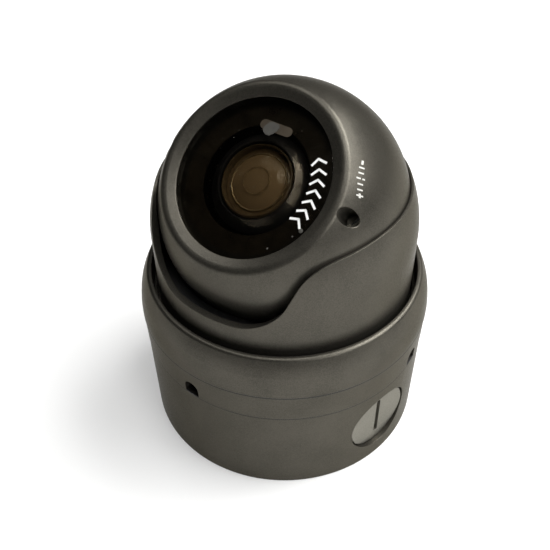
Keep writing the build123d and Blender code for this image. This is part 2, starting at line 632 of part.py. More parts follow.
# Screw columns and adjuster bosses, trimmed to the ball's own sphere
with BuildPart() as inner_posts:
    with BuildSketch(LENS.offset(BOSS_FOOT_D)):
        with BALL_SCREW_SPOTS:
            Circle(BALL_BOSS_R)
    extrude(amount=BALL_R)
    with BuildSketch(LENS.offset(PLATE_D + PLATE_T)):
        with PLATE_SCREW_SPOTS:
            Circle(BALL_BOSS_R)
    extrude(amount=BALL_R)
    with BuildSketch(LENS.offset(BUSH_D)):
        with ADJUSTER_SPOTS:
            Circle(ADJUSTER_BOSS_R)
    extrude(amount=BALL_R)
    with Locations(BALL_CENTRE):
        Sphere(BALL_BORE_R + BALL_WALL / 2, mode=Mode.INTERSECT)
    with BuildSketch(LENS.offset(BARREL_D - BARREL_DEPTH)):
        Circle(GLASS_R + GLASS_FIT)
    extrude(amount=BALL_R, mode=Mode.SUBTRACT)

with BuildPart() as ball_front_shell:
    with BuildSketch(LENS_SECTION):
        with BuildLine():
            Line((MOUTH_R, MOUTH_D), (CREASE_R, CREASE_D))
            ThreePointArc((CREASE_R, CREASE_D), (BALL_R, 0), (SPLIT_R, SPLIT_D))
            Line((SPLIT_R, SPLIT_D), (SPLIT_BORE_R, SPLIT_D))
            ThreePointArc((SPLIT_BORE_R, SPLIT_D), (BALL_BORE_R, 0), (BARREL_R, BARREL_JOIN_D))
            Polyline(
                (BARREL_R, BARREL_JOIN_D),
                (BARREL_R, BARREL_D),
                (GLASS_R + GLASS_FIT, BARREL_D),
                (GLASS_R + GLASS_FIT, GLASS_TOP_D),
                (MOUTH_R, GLASS_TOP_D),
                (MOUTH_R, MOUTH_D),
            )
        make_face()
    revolve(axis=LENS_AXIS)
    front_edges = ball_front_shell.edges().filter_by(GeomType.CIRCLE).sort_by(LENS_AXIS)
    fillet(front_edges[-1], CREASE_ROUND)
    add(inner_posts.part)
    with BuildSketch(LENS.offset(BOSS_FOOT_D)):
        with BALL_SCREW_SPOTS:
            Circle(BALL_SCREW_R + SCREW_FIT)
    extrude(amount=SCREW_TIP_D + BALL_SCREW_R - BOSS_FOOT_D, mode=Mode.SUBTRACT)
    with BuildSketch(LENS.offset(PLATE_D)):
        with PLATE_SCREW_SPOTS:
            Circle(BALL_SCREW_R + SCREW_FIT)
    extrude(amount=PLATE_PILOT_L, mode=Mode.SUBTRACT)
    with BuildSketch(LENS.offset(BUSH_D - BALL_WALL)):
        with ADJUSTER_SPOTS:
            Circle(ADJUSTER_HOLE_R)
    extrude(amount=BALL_R, mode=Mode.SUBTRACT)
    with BuildSketch(LENS.offset(SPLIT_D)):
        Circle(SEAL_R + SEAL_W / 2)
        Circle(SEAL_R - SEAL_W / 2, mode=Mode.SUBTRACT)
    extrude(amount=SEAL_W, mode=Mode.SUBTRACT)
save(ball_front_shell.part, "ball_front_shell")
save(ring(LENS, SPLIT_D, SEAL_R - SEAL_W / 2, SEAL_R + SEAL_W / 2, SEAL_W), "ball_seal")

# ---------------------------------------------------------------- ball, rear shell
SPIGOT_OUT_R = SPLIT_BORE_R - SPIGOT_FIT
SPIGOT_IN_R = SPIGOT_OUT_R - SPIGOT_WALL
REAR_SCREW_SEAT_D = -22.0

with BuildPart() as rear_posts:
    with BuildSketch(LENS.offset(SPLIT_D - SPIGOT_LEN)):
        Circle(SPIGOT_OUT_R)
        Circle(SPIGOT_IN_R, mode=Mode.SUBTRACT)
        with BALL_SCREW_SPOTS:
            Circle(REAR_BOSS_R, mode=Mode.SUBTRACT)
    extrude(amount=SPIGOT_LEN * 2)
    with BuildSketch(LENS.offset(-BALL_R)):
        with BALL_SCREW_SPOTS:
            Circle(REAR_BOSS_R)
    extrude(amount=BALL_R + BOSS_FOOT_D)
    with Locations(BALL_CENTRE):
        Sphere(BALL_R - BALL_WALL / 2, mode=Mode.INTERSECT)

with BuildPart() as ball_rear_shell:
    with Locations(BALL_CENTRE):
        Sphere(BALL_R)
        Sphere(BALL_BORE_R, mode=Mode.SUBTRACT)
    with BuildSketch(LENS.offset(SPLIT_D)):
        Circle(BALL_R * 2)
    extrude(amount=BALL_R * 2, mode=Mode.SUBTRACT)
    add(rear_posts.part)
    with BuildSketch(LENS.offset(-BALL_R)):
        with BALL_SCREW_SPOTS:
            Circle(BALL_SCREW_R + SCREW_FIT)
        Circle(BALL_CABLE_R)
    extrude(amount=BALL_R, mode=Mode.SUBTRACT)
    with BuildSketch(LENS.offset(REAR_SCREW_SEAT_D)):
        with BALL_SCREW_SPOTS:
            Circle(BALL_SCREW_HEAD_R + SCREW_FIT)
    extrude(amount=-BALL_R, mode=Mode.SUBTRACT)
save(ball_rear_shell.part, "ball_rear_shell")

with BuildPart() as ball_screws:
    with BuildSketch(LENS.offset(REAR_SCREW_SEAT_D)):
        with BALL_SCREW_SPOTS:
            Circle(BALL_SCREW_R)
    extrude(amount=SCREW_TIP_D - REAR_SCREW_SEAT_D)
    with BuildSketch(LENS.offset(REAR_SCREW_SEAT_D - BALL_SCREW_HEAD_T)):
        with BALL_SCREW_SPOTS:
            Circle(BALL_SCREW_HEAD_R)
    extrude(amount=BALL_SCREW_HEAD_T)
save(ball_screws.part, "ball_screws")

with BuildPart() as ball_cable_grommet:
    with BuildSketch(LENS.offset(-BALL_R)):
        Circle(BALL_CABLE_R)
        Circle(BALL_CABLE_R - CABLE_SLEEVE_T, mode=Mode.SUBTRACT)
    extrude(amount=CABLE_SLEEVE_L)
    with Locations(BALL_CENTRE):
        Sphere(BALL_R - CABLE_SLEEVE_SUNK, mode=Mode.INTERSECT)
save(ball_cable_grommet.part, "ball_cable_grommet")

# ---------------------------------------------------------------- window
with BuildPart() as window_glass:
    with BuildSketch(LENS.offset(GLASS_LOW_D)):
        Circle(GLASS_R)
    extrude(amount=GLASS_T)
save(window_glass.part, "window_glass")

with BuildPart() as protective_film:
    with BuildSketch(LENS.offset(GLASS_TOP_D)):
        Circle(MOUTH_R - FILM_MARGIN)
    extrude(amount=FILM_T)
save(protective_film.part, "protective_film")

seal_low = GLASS_LOW_D - WINDOW_SEAL_T
save(ring(LENS, seal_low, MOUTH_R, GLASS_R, WINDOW_SEAL_T), "window_gasket")

with BuildPart() as window_retaining_ring:
    with BuildSketch(LENS.offset(RETAINER_D)):
        Circle(GLASS_R)
        Circle(GLASS_R - RETAINER_W, mode=Mode.SUBTRACT)
        with PolarLocations(GLASS_R - RETAINER_W, 2, start_angle=90):
            Rectangle(SPANNER_NOTCH, SPANNER_NOTCH, mode=Mode.SUBTRACT)
    extrude(amount=RETAINER_T)
save(window_retaining_ring.part, "window_retaining_ring")

# ---------------------------------------------------------------- light board and hood
LED_BOARD_TOP = LED_BOARD_D + BOARD_T
LENS_HOLE_R = LENS_R + LENS_CLEARANCE
BOARD_HOLE_R = LENS_HOLE_R + HOOD_STEP
LED_STEP = 360 / LED_PLACES
SENSOR_PLACE = LED_PLACES * 3 // 4

with BuildPart() as led_board:
    with BuildSketch(LENS.offset(LED_BOARD_D)):
        Circle(LED_BOARD_R)
        Circle(BOARD_HOLE_R, mode=Mode.SUBTRACT)
    extrude(amount=BOARD_T)
save(led_board.part, "led_board")

with BuildPart() as ir_leds:
    with BuildSketch(LENS.offset(LED_BOARD_TOP)):
        for place in range(LED_PLACES):
            if place != SENSOR_PLACE:
                with PolarLocations(LED_RING_R, 1, start_angle=place * LED_STEP):
                    Circle(LED_R)
    extrude(amount=LED_H)
    fillet(ir_leds.faces().sort_by(LENS_AXIS)[-(LED_PLACES - 1) :].edges(), LED_DOME_ROUND)
save(ir_leds.part, "ir_leds")

with BuildPart() as light_sensor:
    with BuildSketch(LENS.offset(LED_BOARD_TOP)):
        with PolarLocations(LED_RING_R, 1, start_angle=SENSOR_PLACE * LED_STEP):
            Circle(LED_R)
    extrude(amount=LIGHT_SENSOR_H)
save(light_sensor.part, "light_sensor")

LED_POST_RING_R = LED_BOARD_R - POST_R - POST_INSET
LED_POST_ANGLES = (60, 120, 270)
with BuildPart() as led_board_posts:
    with BuildSketch(LENS.offset(PLATE_D + PLATE_T)):
        for angle in LED_POST_ANGLES:
            with PolarLocations(LED_POST_RING_R, 1, start_angle=angle):
                RegularPolygon(POST_R, 6)
    extrude(amount=LED_BOARD_D - PLATE_D - PLATE_T)
save(led_board_posts.part, "led_board_posts")

with BuildPart() as lens_hood:
    with BuildSketch(LENS_SECTION):
        Polygon(
            (BOARD_HOLE_R, LED_BOARD_TOP),
            (HOOD_R, LED_BOARD_TOP),
            (HOOD_R, HOOD_FACE_D - HOOD_CHAMFER),
            (HOOD_FACE_R, HOOD_FACE_D),
            (LENS_HOLE_R, HOOD_FACE_D),
            (LENS_HOLE_R, LED_BOARD_TOP + HOOD_FOOT_T),
            (BOARD_HOLE_R, LED_BOARD_TOP + HOOD_FOOT_T),
            align=None,
        )
    revolve(axis=LENS_AXIS)
save(lens_hood.part, "lens_hood")

# ---------------------------------------------------------------- lens
LENS_BORE_R = LENS_R - LENS_WALL
LENS_EDGE = 0.6
TAIL_END_D = LENS_REAR_D - TAIL_L
with BuildPart() as lens_barrel:
    with BuildSketch(LENS_SECTION):
        Polygon(
            (LENS_BORE_R, LENS_FRONT_D - LENS_EDGE),
            (LENS_R - LENS_EDGE, LENS_FRONT_D),
            (LENS_R, LENS_FRONT_D - LENS_EDGE),
            (LENS_R, LENS_REAR_D),
            (TAIL_R, LENS_REAR_D),
            (TAIL_R, TAIL_END_D),
            (TAIL_R - LENS_WALL, TAIL_END_D),
            (TAIL_R - LENS_WALL, LENS_REAR_D + LENS_WALL),
            (LENS_BORE_R, LENS_REAR_D + LENS_WALL),
            align=None,
        )
    revolve(axis=LENS_AXIS)
save(lens_barrel.part, "lens_barrel")

GLASS_SUNK = 0.3
FRONT_GLASS_T = 6.1
FRONT_GLASS_CURVE_R = 27.0
FRONT_GLASS_APEX_D = LENS_FRONT_D - GLASS_SUNK
FRONT_GLASS_D = FRONT_GLASS_APEX_D - FRONT_GLASS_T
FRONT_GLASS_R = LENS_BORE_R - SHAFT_FIT
with BuildPart() as front_lens:
    with BuildSketch(LENS.offset(FRONT_GLASS_D)):
        Circle(FRONT_GLASS_R)
    extrude(amount=FRONT_GLASS_T * 2)
    with Locations(LENS.offset(FRONT_GLASS_APEX_D - FRONT_GLASS_CURVE_R).origin):
        Sphere(FRONT_GLASS_CURVE_R, mode=Mode.INTERSECT)
save(front_lens.part, "front_lens")

LENS_AIR_GAP = 4.5
INNER_CELL_T = 9.0
INNER_CELL_WALL = 3.0
INNER_GLASS_T = 3.0
INNER_CELL_D = FRONT_GLASS_D - INNER_CELL_T - LENS_AIR_GAP
INNER_CELL_R = LENS_BORE_R - FACE_FIT
INNER_GLASS_R = INNER_CELL_R - INNER_CELL_WALL
save(ring(LENS, INNER_CELL_D, INNER_GLASS_R, INNER_CELL_R, INNER_CELL_T), "inner_lens_cell")

with BuildPart() as inner_lens:
    with BuildSketch(LENS.offset(INNER_CELL_D + INNER_CELL_T / 2)):
        Circle(INNER_GLASS_R)
    extrude(amount=INNER_GLASS_T)
save(inner_lens.part, "inner_lens")

# ---------------------------------------------------------------- chassis plate
CHASSIS_SCREW_L = 8.0
PIN_PROUD = 0.6

with BuildPart() as chassis_plate:
    with BuildSketch(LENS.offset(PLATE_D)):
        Circle(PLATE_R)
        Circle(LENS_R + FACE_FIT, mode=Mode.SUBTRACT)
        with BALL_SCREW_SPOTS:
            Circle(REAR_BOSS_R, mode=Mode.SUBTRACT)
        with PLATE_SCREW_SPOTS:
            Circle(BALL_SCREW_R + SCREW_FIT, mode=Mode.SUBTRACT)
        with ADJUSTER_SPOTS:
            Circle(SHAFT_R + SHAFT_FIT, mode=Mode.SUBTRACT)
    extrude(amount=PLATE_T)
save(chassis_plate.part, "chassis_plate")

with BuildPart() as chassis_screws:
    with BuildSketch(LENS.offset(PLATE_D)):
        with PLATE_SCREW_SPOTS:
            Circle(BALL_SCREW_R)
    extrude(amount=CHASSIS_SCREW_L)
    with BuildSketch(LENS.offset(PLATE_D - BALL_SCREW_HEAD_T)):
        with PLATE_SCREW_SPOTS:
            Circle(BALL_SCREW_HEAD_R)
    extrude(amount=BALL_SCREW_HEAD_T)
save(chassis_screws.part, "chassis_screws")

with BuildPart() as idler_pins:
    with BuildSketch(LENS.offset(PLATE_D + PLATE_T)):
        with Locations((IDLER_OFFSET, 0)):
            Circle(SHAFT_R)
    extrude(amount=GEAR_GAP + GEAR_T + PIN_PROUD)
    with BuildSketch(LENS.offset(PLATE_D)):
        with Locations((-IDLER_OFFSET, 0)):
            Circle(SHAFT_R)
    extrude(amount=-GEAR_GAP - GEAR_T - PIN_PROUD)
save(idler_pins.part, "idler_pins")

# ---------------------------------------------------------------- focus and zoom drives
PITCH = MODULE * pi
TOOTH_ROOT_W = PITCH * 0.56
TOOTH_TIP_W = PITCH * 0.17
TOOTH_EMBED = 0.3
SHAFT_TAIL = 1.0
DRIVER_SLOT_W = 0.8
DRIVER_SLOT_DEPTH = 0.8
DRIVER_SLOT_TURN = 60.0


def gear_part(teeth, low, centre_x, bore_r, phase):
    """A spur gear with straight-sided teeth, its axis along the lens axis."""
    root_r = MODULE * teeth / 2 - TOOTH_DEEP
    tip = TOOTH_DEEP + TOOTH_TALL
    with BuildPart() as gear:
        with BuildSketch(LENS.offset(low)):
            with Locations((centre_x, 0)):
                Circle(root_r)
                with PolarLocations(root_r, teeth, start_angle=phase):
                    Polygon(
                        (-TOOTH_EMBED, -TOOTH_ROOT_W / 2),
                        (tip, -TOOTH_TIP_W / 2),
                        (tip, TOOTH_TIP_W / 2),
                        (-TOOTH_EMBED, TOOTH_ROOT_W / 2),
                        align=None,
                    )
                if bore_r > 0:
                    Circle(bore_r, mode=Mode.SUBTRACT)
        extrude(amount=GEAR_T)
    return gear.part


def drive(name, side, low):
    """The ring on the lens, its idler and the slotted adjuster on one side of the ball."""
    ring_gear = gear_part(RING_TEETH, low, 0, LENS_R + SHAFT_FIT, 0)
    save(ring_gear, f"{name}_ring")
    half_step = 180 / IDLER_TEETH
    idler = gear_part(IDLER_TEETH, low, side * IDLER_OFFSET, SHAFT_R + SHAFT_FIT, half_step)
    save(idler, f"{name}_idler")
    shaft_low = min(low, PLATE_D) - SHAFT_TAIL
    pinion = gear_part(PINION_TEETH, low, side * ADJUSTER_OFFSET, 0, 0)
    with BuildPart() as adjuster:
        add(pinion)
        with BuildSketch(LENS.offset(shaft_low)):
            with Locations((side * ADJUSTER_OFFSET, 0)):
                Circle(SHAFT_R)
        extrude(amount=ADJUSTER_FACE_D - shaft_low)
        with BuildSketch(LENS.offset(ADJUSTER_FACE_D - ADJUSTER_HEAD_T)):
            with Locations((side * ADJUSTER_OFFSET, 0)):
                Circle(ADJUSTER_HEAD_R)
        extrude(amount=ADJUSTER_HEAD_T)
        with BuildSketch(LENS.offset(ADJUSTER_FACE_D - DRIVER_SLOT_DEPTH)):
            with Locations((side * ADJUSTER_OFFSET, 0)):
                Rectangle(ADJUSTER_HEAD_R * 3, DRIVER_SLOT_W, rotation=DRIVER_SLOT_TURN)
        extrude(amount=ADJUSTER_HEAD_T, mode=Mode.SUBTRACT)
    save(adjuster.part, f"{name}_adjuster")


drive("focus", 1, FOCUS_GEAR_D)
drive("zoom", -1, ZOOM_GEAR_D)

with BuildPart() as adjuster_bushes:
    with BuildSketch(LENS.offset(BUSH_D)):
        with ADJUSTER_SPOTS:
            Circle(ADJUSTER_HOLE_R - PRESS_FIT)
            Circle(SHAFT_R + SHAFT_FIT, mode=Mode.SUBTRACT)
    extrude(amount=BUSH_T)
save(adjuster_bushes.part, "adjuster_bushes")

with BuildPart() as adjuster_seals:
    with BuildSketch(LENS.offset(BUSH_TOP_D)):
        with ADJUSTER_SPOTS:
            Circle(ADJUSTER_HOLE_R - PRESS_FIT)
            Circle(SHAFT_R + SHAFT_FIT, mode=Mode.SUBTRACT)
    extrude(amount=ADJUSTER_SEAL_T)
save(adjuster_seals.part, "adjuster_seals")

# ---------------------------------------------------------------- sensor stack
SENSOR_TOP = SENSOR_BOARD_D + BOARD_T
MAIN_TOP = MAIN_BOARD_D + BOARD_T
FILTER_D = -15.2
FILTER_SLOT = 0.15
MOUNT_L = 30.0
MOUNT_W = 24.0
MOUNT_GAP = 0.5
SENSOR_L = 9.0
SENSOR_W = 7.0
SENSOR_T = 1.4
SENSOR_ROOM = 3.0
FILTER_CORNER = 1.0
FILTER_END_ROOM = 0.6
FILTER_SIDE_ROOM = 0.4
ACTUATOR_L = 12.0
ACTUATOR_W = 6.0
ACTUATOR_H = 7.0
BOARD_CORNER = 2.0
POSTS = GridLocations(POST_PITCH, POST_PITCH, 2, 2)

with BuildPart() as lens_mount:
    with BuildSketch(LENS.offset(SENSOR_TOP)):
        Rectangle(MOUNT_L, MOUNT_W)
    extrude(amount=LENS_REAR_D - MOUNT_GAP - SENSOR_TOP)
    with BuildSketch(LENS.offset(TAIL_END_D)):
        Circle(TAIL_R + SHAFT_FIT)
    extrude(amount=MOUNT_W, mode=Mode.SUBTRACT)
    with BuildSketch(LENS.offset(SENSOR_TOP)):
        Rectangle(SENSOR_L + SENSOR_ROOM, SENSOR_W + SENSOR_ROOM)
    extrude(amount=MOUNT_W, mode=Mode.SUBTRACT)
    with BuildSketch(LENS.offset(FILTER_D - FILTER_SLOT)):
        with Locations((FILTER_TRAVEL / 2, 0)):
            Rectangle(FILTER_L + FILTER_TRAVEL + FILTER_END_ROOM, FILTER_W + FILTER_SIDE_ROOM)
    extrude(amount=FILTER_T + 2 * FILTER_SLOT, mode=Mode.SUBTRACT)
save(lens_mount.part, "lens_mount")

with BuildPart() as ir_cut_filter:
    with BuildSketch(LENS.offset(FILTER_D)):
        RectangleRounded(FILTER_L, FILTER_W, FILTER_CORNER)
    extrude(amount=FILTER_T)
save(ir_cut_filter.part, "ir_cut_filter")

with BuildPart() as ir_cut_actuator:
    with BuildSketch(LENS.offset(SENSOR_TOP)):
        with Locations((0, (MOUNT_W + ACTUATOR_W) / 2 + SHAFT_FIT)):
            Rectangle(ACTUATOR_L, ACTUATOR_W)
    extrude(amount=ACTUATOR_H)
save(ir_cut_actuator.part, "ir_cut_actuator")

with BuildPart() as image_sensor:
    with BuildSketch(LENS.offset(SENSOR_TOP)):
        Rectangle(SENSOR_L, SENSOR_W)
    extrude(amount=SENSOR_T)
save(image_sensor.part, "image_sensor")


def square_board(low):
    """A square circuit board with its corners taken off and a hole at each post."""
    with BuildPart() as board:
        with BuildSketch(LENS.offset(low)):
            RectangleRounded(BOARD_SIDE, BOARD_SIDE, BOARD_CORNER)
            with POSTS:
                Circle(BALL_SCREW_R + SCREW_FIT, mode=Mode.SUBTRACT)
        extrude(amount=BOARD_T)
    return board.part


save(square_board(SENSOR_BOARD_D), "sensor_board")
save(square_board(MAIN_BOARD_D), "main_board")

with BuildPart() as board_posts:
    with BuildSketch(LENS.offset(SENSOR_TOP)):
        with POSTS:
            RegularPolygon(POST_R, 6)
    extrude(amount=PLATE_D - SENSOR_TOP)
    with BuildSketch(LENS.offset(MAIN_TOP)):
        with POSTS:
            RegularPolygon(POST_R, 6)
    extrude(amount=SENSOR_BOARD_D - MAIN_TOP)
save(board_posts.part, "board_posts")

with BuildPart() as board_screws:
    with BuildSketch(LENS.offset(MAIN_BOARD_D)):
        with POSTS:
            Circle(BALL_SCREW_R)
    extrude(amount=BOARD_T)
    with BuildSketch(LENS.offset(MAIN_BOARD_D - BALL_SCREW_HEAD_T)):
        with POSTS:
            Circle(BALL_SCREW_HEAD_R)
    extrude(amount=BALL_SCREW_HEAD_T)
save(board_screws.part, "board_screws")

CONNECTOR_L = 14.0
CONNECTOR_W = 6.0
CONNECTOR_H = 5.5
CONNECTOR_WALL = 0.8
CONNECTOR_BASE_T = 1.0
with BuildPart() as cable_connector:
    with BuildSketch(LENS.offset(MAIN_BOARD_D)):
        Rectangle(CONNECTOR_L, CONNECTOR_W)
    extrude(amount=-CONNECTOR_H)
    with BuildSketch(LENS.offset(MAIN_BOARD_D - CONNECTOR_BASE_T)):
        Rectangle(CONNECTOR_L - 2 * CONNECTOR_WALL, CONNECTOR_W - 2 * CONNECTOR_WALL)
    extrude(amount=-CONNECTOR_H, mode=Mode.SUBTRACT)
save(cable_connector.part, "cable_connector")
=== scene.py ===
"""Looks of an adjustable dome camera on a deep round junction box.

Metres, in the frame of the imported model: +Z away from the mounting face, the lens
towards -Y at rest. Sizes in millimetres are written with the factor MM.
"""

import json
import math
import random

import bmesh
import bpy
from mathutils import Matrix, Vector


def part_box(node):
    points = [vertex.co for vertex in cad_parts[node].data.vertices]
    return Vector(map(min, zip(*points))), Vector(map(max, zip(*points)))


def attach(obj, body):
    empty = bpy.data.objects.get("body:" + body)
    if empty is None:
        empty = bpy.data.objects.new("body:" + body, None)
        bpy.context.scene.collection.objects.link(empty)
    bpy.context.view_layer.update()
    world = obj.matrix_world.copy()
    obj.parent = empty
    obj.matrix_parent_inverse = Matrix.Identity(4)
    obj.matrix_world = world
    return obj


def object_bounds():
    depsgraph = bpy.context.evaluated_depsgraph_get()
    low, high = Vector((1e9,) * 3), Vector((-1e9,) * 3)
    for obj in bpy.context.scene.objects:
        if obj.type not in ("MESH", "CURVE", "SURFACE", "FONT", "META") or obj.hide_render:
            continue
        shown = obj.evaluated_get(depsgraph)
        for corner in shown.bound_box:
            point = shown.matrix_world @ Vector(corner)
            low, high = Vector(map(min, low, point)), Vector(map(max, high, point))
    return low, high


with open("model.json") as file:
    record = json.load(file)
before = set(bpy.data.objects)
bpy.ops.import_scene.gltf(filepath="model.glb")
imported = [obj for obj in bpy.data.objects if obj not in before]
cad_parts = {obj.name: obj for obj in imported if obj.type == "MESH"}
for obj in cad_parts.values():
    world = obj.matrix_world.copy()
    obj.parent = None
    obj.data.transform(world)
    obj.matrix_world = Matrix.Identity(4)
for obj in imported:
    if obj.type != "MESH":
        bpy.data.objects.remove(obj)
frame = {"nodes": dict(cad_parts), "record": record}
CAD_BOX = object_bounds()

# ------------------------------------------------------------------ view and studio
# A white sweep under broad soft lamps, as for a catalogue shot. The camera stands to
# the lens's left hand, looking down on the ball from 0.3 m away. Daylight comes from the
# right and the left of the room is dark: that is what gives the paint its shape.
MM = 0.001
VIEW_SIDE = math.radians(34.7)
VIEW_RADIUS = 219.4 * MM
VIEW_HEIGHT = 262.0 * MM
AIM_HEIGHT = 60.0 * MM
# The frame's width, the focal length and the axis's offset share one unit.
FRAME_WIDTH = 550
FOCAL_LENGTH = 747
AXIS_RIGHT_OF_MIDDLE = 9.6
SENSOR = 36.0
NEAREST = 0.01
SWEEP_SIZE = 8.0
SWEEP_GRAIN = 40.0
TABLE_GLOW = 0.3
# How the world's light falls off: from DAY_FACING, nearly towards the day, to DARK_FACING.
DAY_SIDE = VIEW_SIDE + math.radians(70.0)
DAY_RISE = math.radians(28.0)
DARK_FACING, DAY_FACING = -0.35, 0.9
DARK_GLOW, DAY_GLOW = 0.01, 0.5
# Name, side in degrees round from the camera, rise in degrees, distance m, size m, watts.
SOFT_LAMPS = (
    ("key_softbox", 76, 46, 0.95, 0.5, 6.0),
    ("back_softbox", 120, 56, 1.1, 0.6, 14.0),
    ("front_window", 36, 33, 1.0, 0.4, 2.5),
    ("overhead", 10, 84, 1.1, 0.5, 4.0),
    ("left_floor_wash", -140, 66, 1.1, 0.5, 2.0),
)


def srgb(code, alpha=1.0):
    """Linear colour of an sRGB hex code such as 57534b."""
    parts = [int(code[i : i + 2], 16) / 255 for i in (0, 2, 4)]
    linear = [c / 12.92 if c <= 0.04045 else ((c + 0.055) / 1.055) ** 2.4 for c in parts]
    return (*linear, alpha)


def add_node(tree, kind, settings=None, links=None):
    """Add one shader node; settings go to its sockets or its properties."""
    made = tree.nodes.new(kind)
    for key, value in (settings or {}).items():
        if isinstance(key, int) or key in made.inputs:
            made.inputs[key].default_value = value
        elif key == "stops":
            ramp = made.color_ramp
            ramp.elements[0].position, ramp.elements[0].color = value[0]
            ramp.elements[1].position, ramp.elements[1].color = value[-1]
            for place, colour in value[1:-1]:
                ramp.elements.new(place).color = colour
        else:
            setattr(made, key, value)
    for key, source in (links or {}).items():
        tree.links.new(source, made.inputs[key])
    return made


def new_material(name, colour, **sockets):
    """A material with one Principled shader; sockets are set on it directly."""
    made = bpy.data.materials.new(name)
    made.use_nodes = True
    shader = made.node_tree.nodes["Principled BSDF"]
    shader.inputs["Base Color"].default_value = colour
    for key, value in sockets.items():
        shader.inputs[key.replace("_", " ")].default_value = value
    return made, made.node_tree, shader


eye = Vector((VIEW_RADIUS * math.sin(VIEW_SIDE), -VIEW_RADIUS * math.cos(VIEW_SIDE), VIEW_HEIGHT))
aim = Vector((0, 0, AIM_HEIGHT))
camera = bpy.data.objects.new("camera", bpy.data.cameras.new("camera"))
camera.location = eye
camera.rotation_euler = (aim - eye).to_track_quat("-Z", "Y").to_euler()
camera.data.sensor_width = SENSOR
camera.data.lens = SENSOR * FOCAL_LENGTH / FRAME_WIDTH
camera.data.shift_x = -AXIS_RIGHT_OF_MIDDLE / FRAME_WIDTH
camera.data.clip_start = NEAREST
bpy.context.collection.objects.link(camera)
bpy.context.scene.camera = camera

sweep_paint, tree, shader = new_material("white_sweep", srgb("d6d6d5"), Roughness=0.95)
grain = add_node(tree, "ShaderNodeTexNoise", {"Scale": SWEEP_GRAIN, "Detail": 3.0})
tint = add_node(
    tree,
    "ShaderNodeValToRGB",
    {"stops": [(0.3, srgb("d4d4d3")), (0.7, srgb("d8d8d7"))]},
    {"Fac": grain.outputs["Fac"]},
)
tree.links.new(tint.outputs["Color"], shader.inputs["Base Color"])
shader.inputs["Emission Color"].default_value = srgb("ffffff")
shader.inputs["Emission Strength"].default_value = TABLE_GLOW
bpy.ops.mesh.primitive_plane_add(size=SWEEP_SIZE, location=(0, 0, CAD_BOX[0].z))
floor = bpy.context.object
floor.name = "floor"
floor.data.materials.append(sweep_paint)

world = bpy.data.worlds.new("studio")
world.use_nodes = True
bpy.context.scene.world = world
tree = world.node_tree
day = (
    math.sin(DAY_SIDE) * math.cos(DAY_RISE),
    -math.cos(DAY_SIDE) * math.cos(DAY_RISE),
    math.sin(DAY_RISE),
)
sky = add_node(tree, "ShaderNodeTexCoord").outputs["Generated"]
facing = add_node(tree, "ShaderNodeVectorMath", {"operation": "DOT_PRODUCT", 1: day}, {0: sky})
room = add_node(
    tree,
    "ShaderNodeMapRange",
    {
        "From Min": DARK_FACING,
        "From Max": DAY_FACING,
        "To Min": DARK_GLOW,
        "To Max": DAY_GLOW,
    },
    {"Value": facing.outputs["Value"]},
)
tree.links.new(room.outputs["Result"], tree.nodes["Background"].inputs["Strength"])
bpy.context.scene.view_settings.view_transform = "Standard"

for name, side, rise, distance, size, power in SOFT_LAMPS:
    turn = VIEW_SIDE + math.radians(side)
    lift = math.radians(rise)
    away = Vector(
        (math.sin(turn) * math.cos(lift), -math.cos(turn) * math.cos(lift), math.sin(lift))
    )
    lamp = bpy.data.objects.new(name, bpy.data.lights.new(name, "AREA"))
    lamp.data.size = size
    lamp.data.energy = power
    lamp.location = aim + away * distance
    lamp.rotation_euler = (-away).to_track_quat("-Z", "Y").to_euler()
    bpy.context.collection.objects.link(lamp)

# ------------------------------------------------------------------ the lens's own frame
# Everything inside the ball sits square to the lens. Its axis and centre are those of
# the focus ring's joint; a place is (across, up, out).
joints = {joint["name"]: joint for joint in frame["record"]["behaviour"]["joints"]}
BALL_CENTRE = Vector(joints["focus_ring_turn"]["pos_m"])
OUT = Vector(joints["focus_ring_turn"]["axis"]).normalized()
ACROSS = Vector(joints["tilt"]["axis"]).normalized()
UP = OUT.cross(ACROSS)
LENS_FRAME = Matrix.Translation(BALL_CENTRE) @ Matrix((ACROSS, UP, OUT)).transposed().to_4x4()
SEGMENTS = 96
WELD = 1e-7
SHARP = math.radians(35)


def lens_span(node):
    """Lowest and highest place along the lens axis, and widest radius, of a CAD node."""
    places = [LENS_FRAME.inverted() @ v.co for v in frame["nodes"][node].data.vertices]
    heights = [p.z for p in places]
    return min(heights), max(heights), max(p.xy.length for p in places)


def finish_piece(name, shape, body, material, smooth=True):
    """Turn a bmesh in the row frame into a named piece that rides on a body."""
    bmesh.ops.remove_doubles(shape, verts=shape.verts, dist=WELD)
    bmesh.ops.recalc_face_normals(shape, faces=shape.faces)
    data = bpy.data.meshes.new(name)
    shape.to_mesh(data)
    shape.free()
    made = bpy.data.objects.new(name, data)
    made.data.materials.append(material)
    bpy.context.collection.objects.link(made)
    if smooth:
        data.shade_smooth()
        data.set_sharp_from_angle(angle=SHARP)
    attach(made, body)


def add_lathe(shape, profile, place=LENS_FRAME, segments=SEGMENTS):
    """Spin a closed outline of (radius, height) points round the Z of a place."""
    rings = []
    for step in range(segments):
        turn = 2 * math.pi * step / segments
        rings.append(
            [
                shape.verts.new(place @ Vector((r * math.cos(turn), r * math.sin(turn), h)))
                for r, h in profile
            ]
        )
    for one, two in zip(rings, rings[1:] + rings[:1]):
        for a in range(len(profile)):
            b = (a + 1) % len(profile)
            shape.faces.new((one[a], one[b], two[b], two[a]))


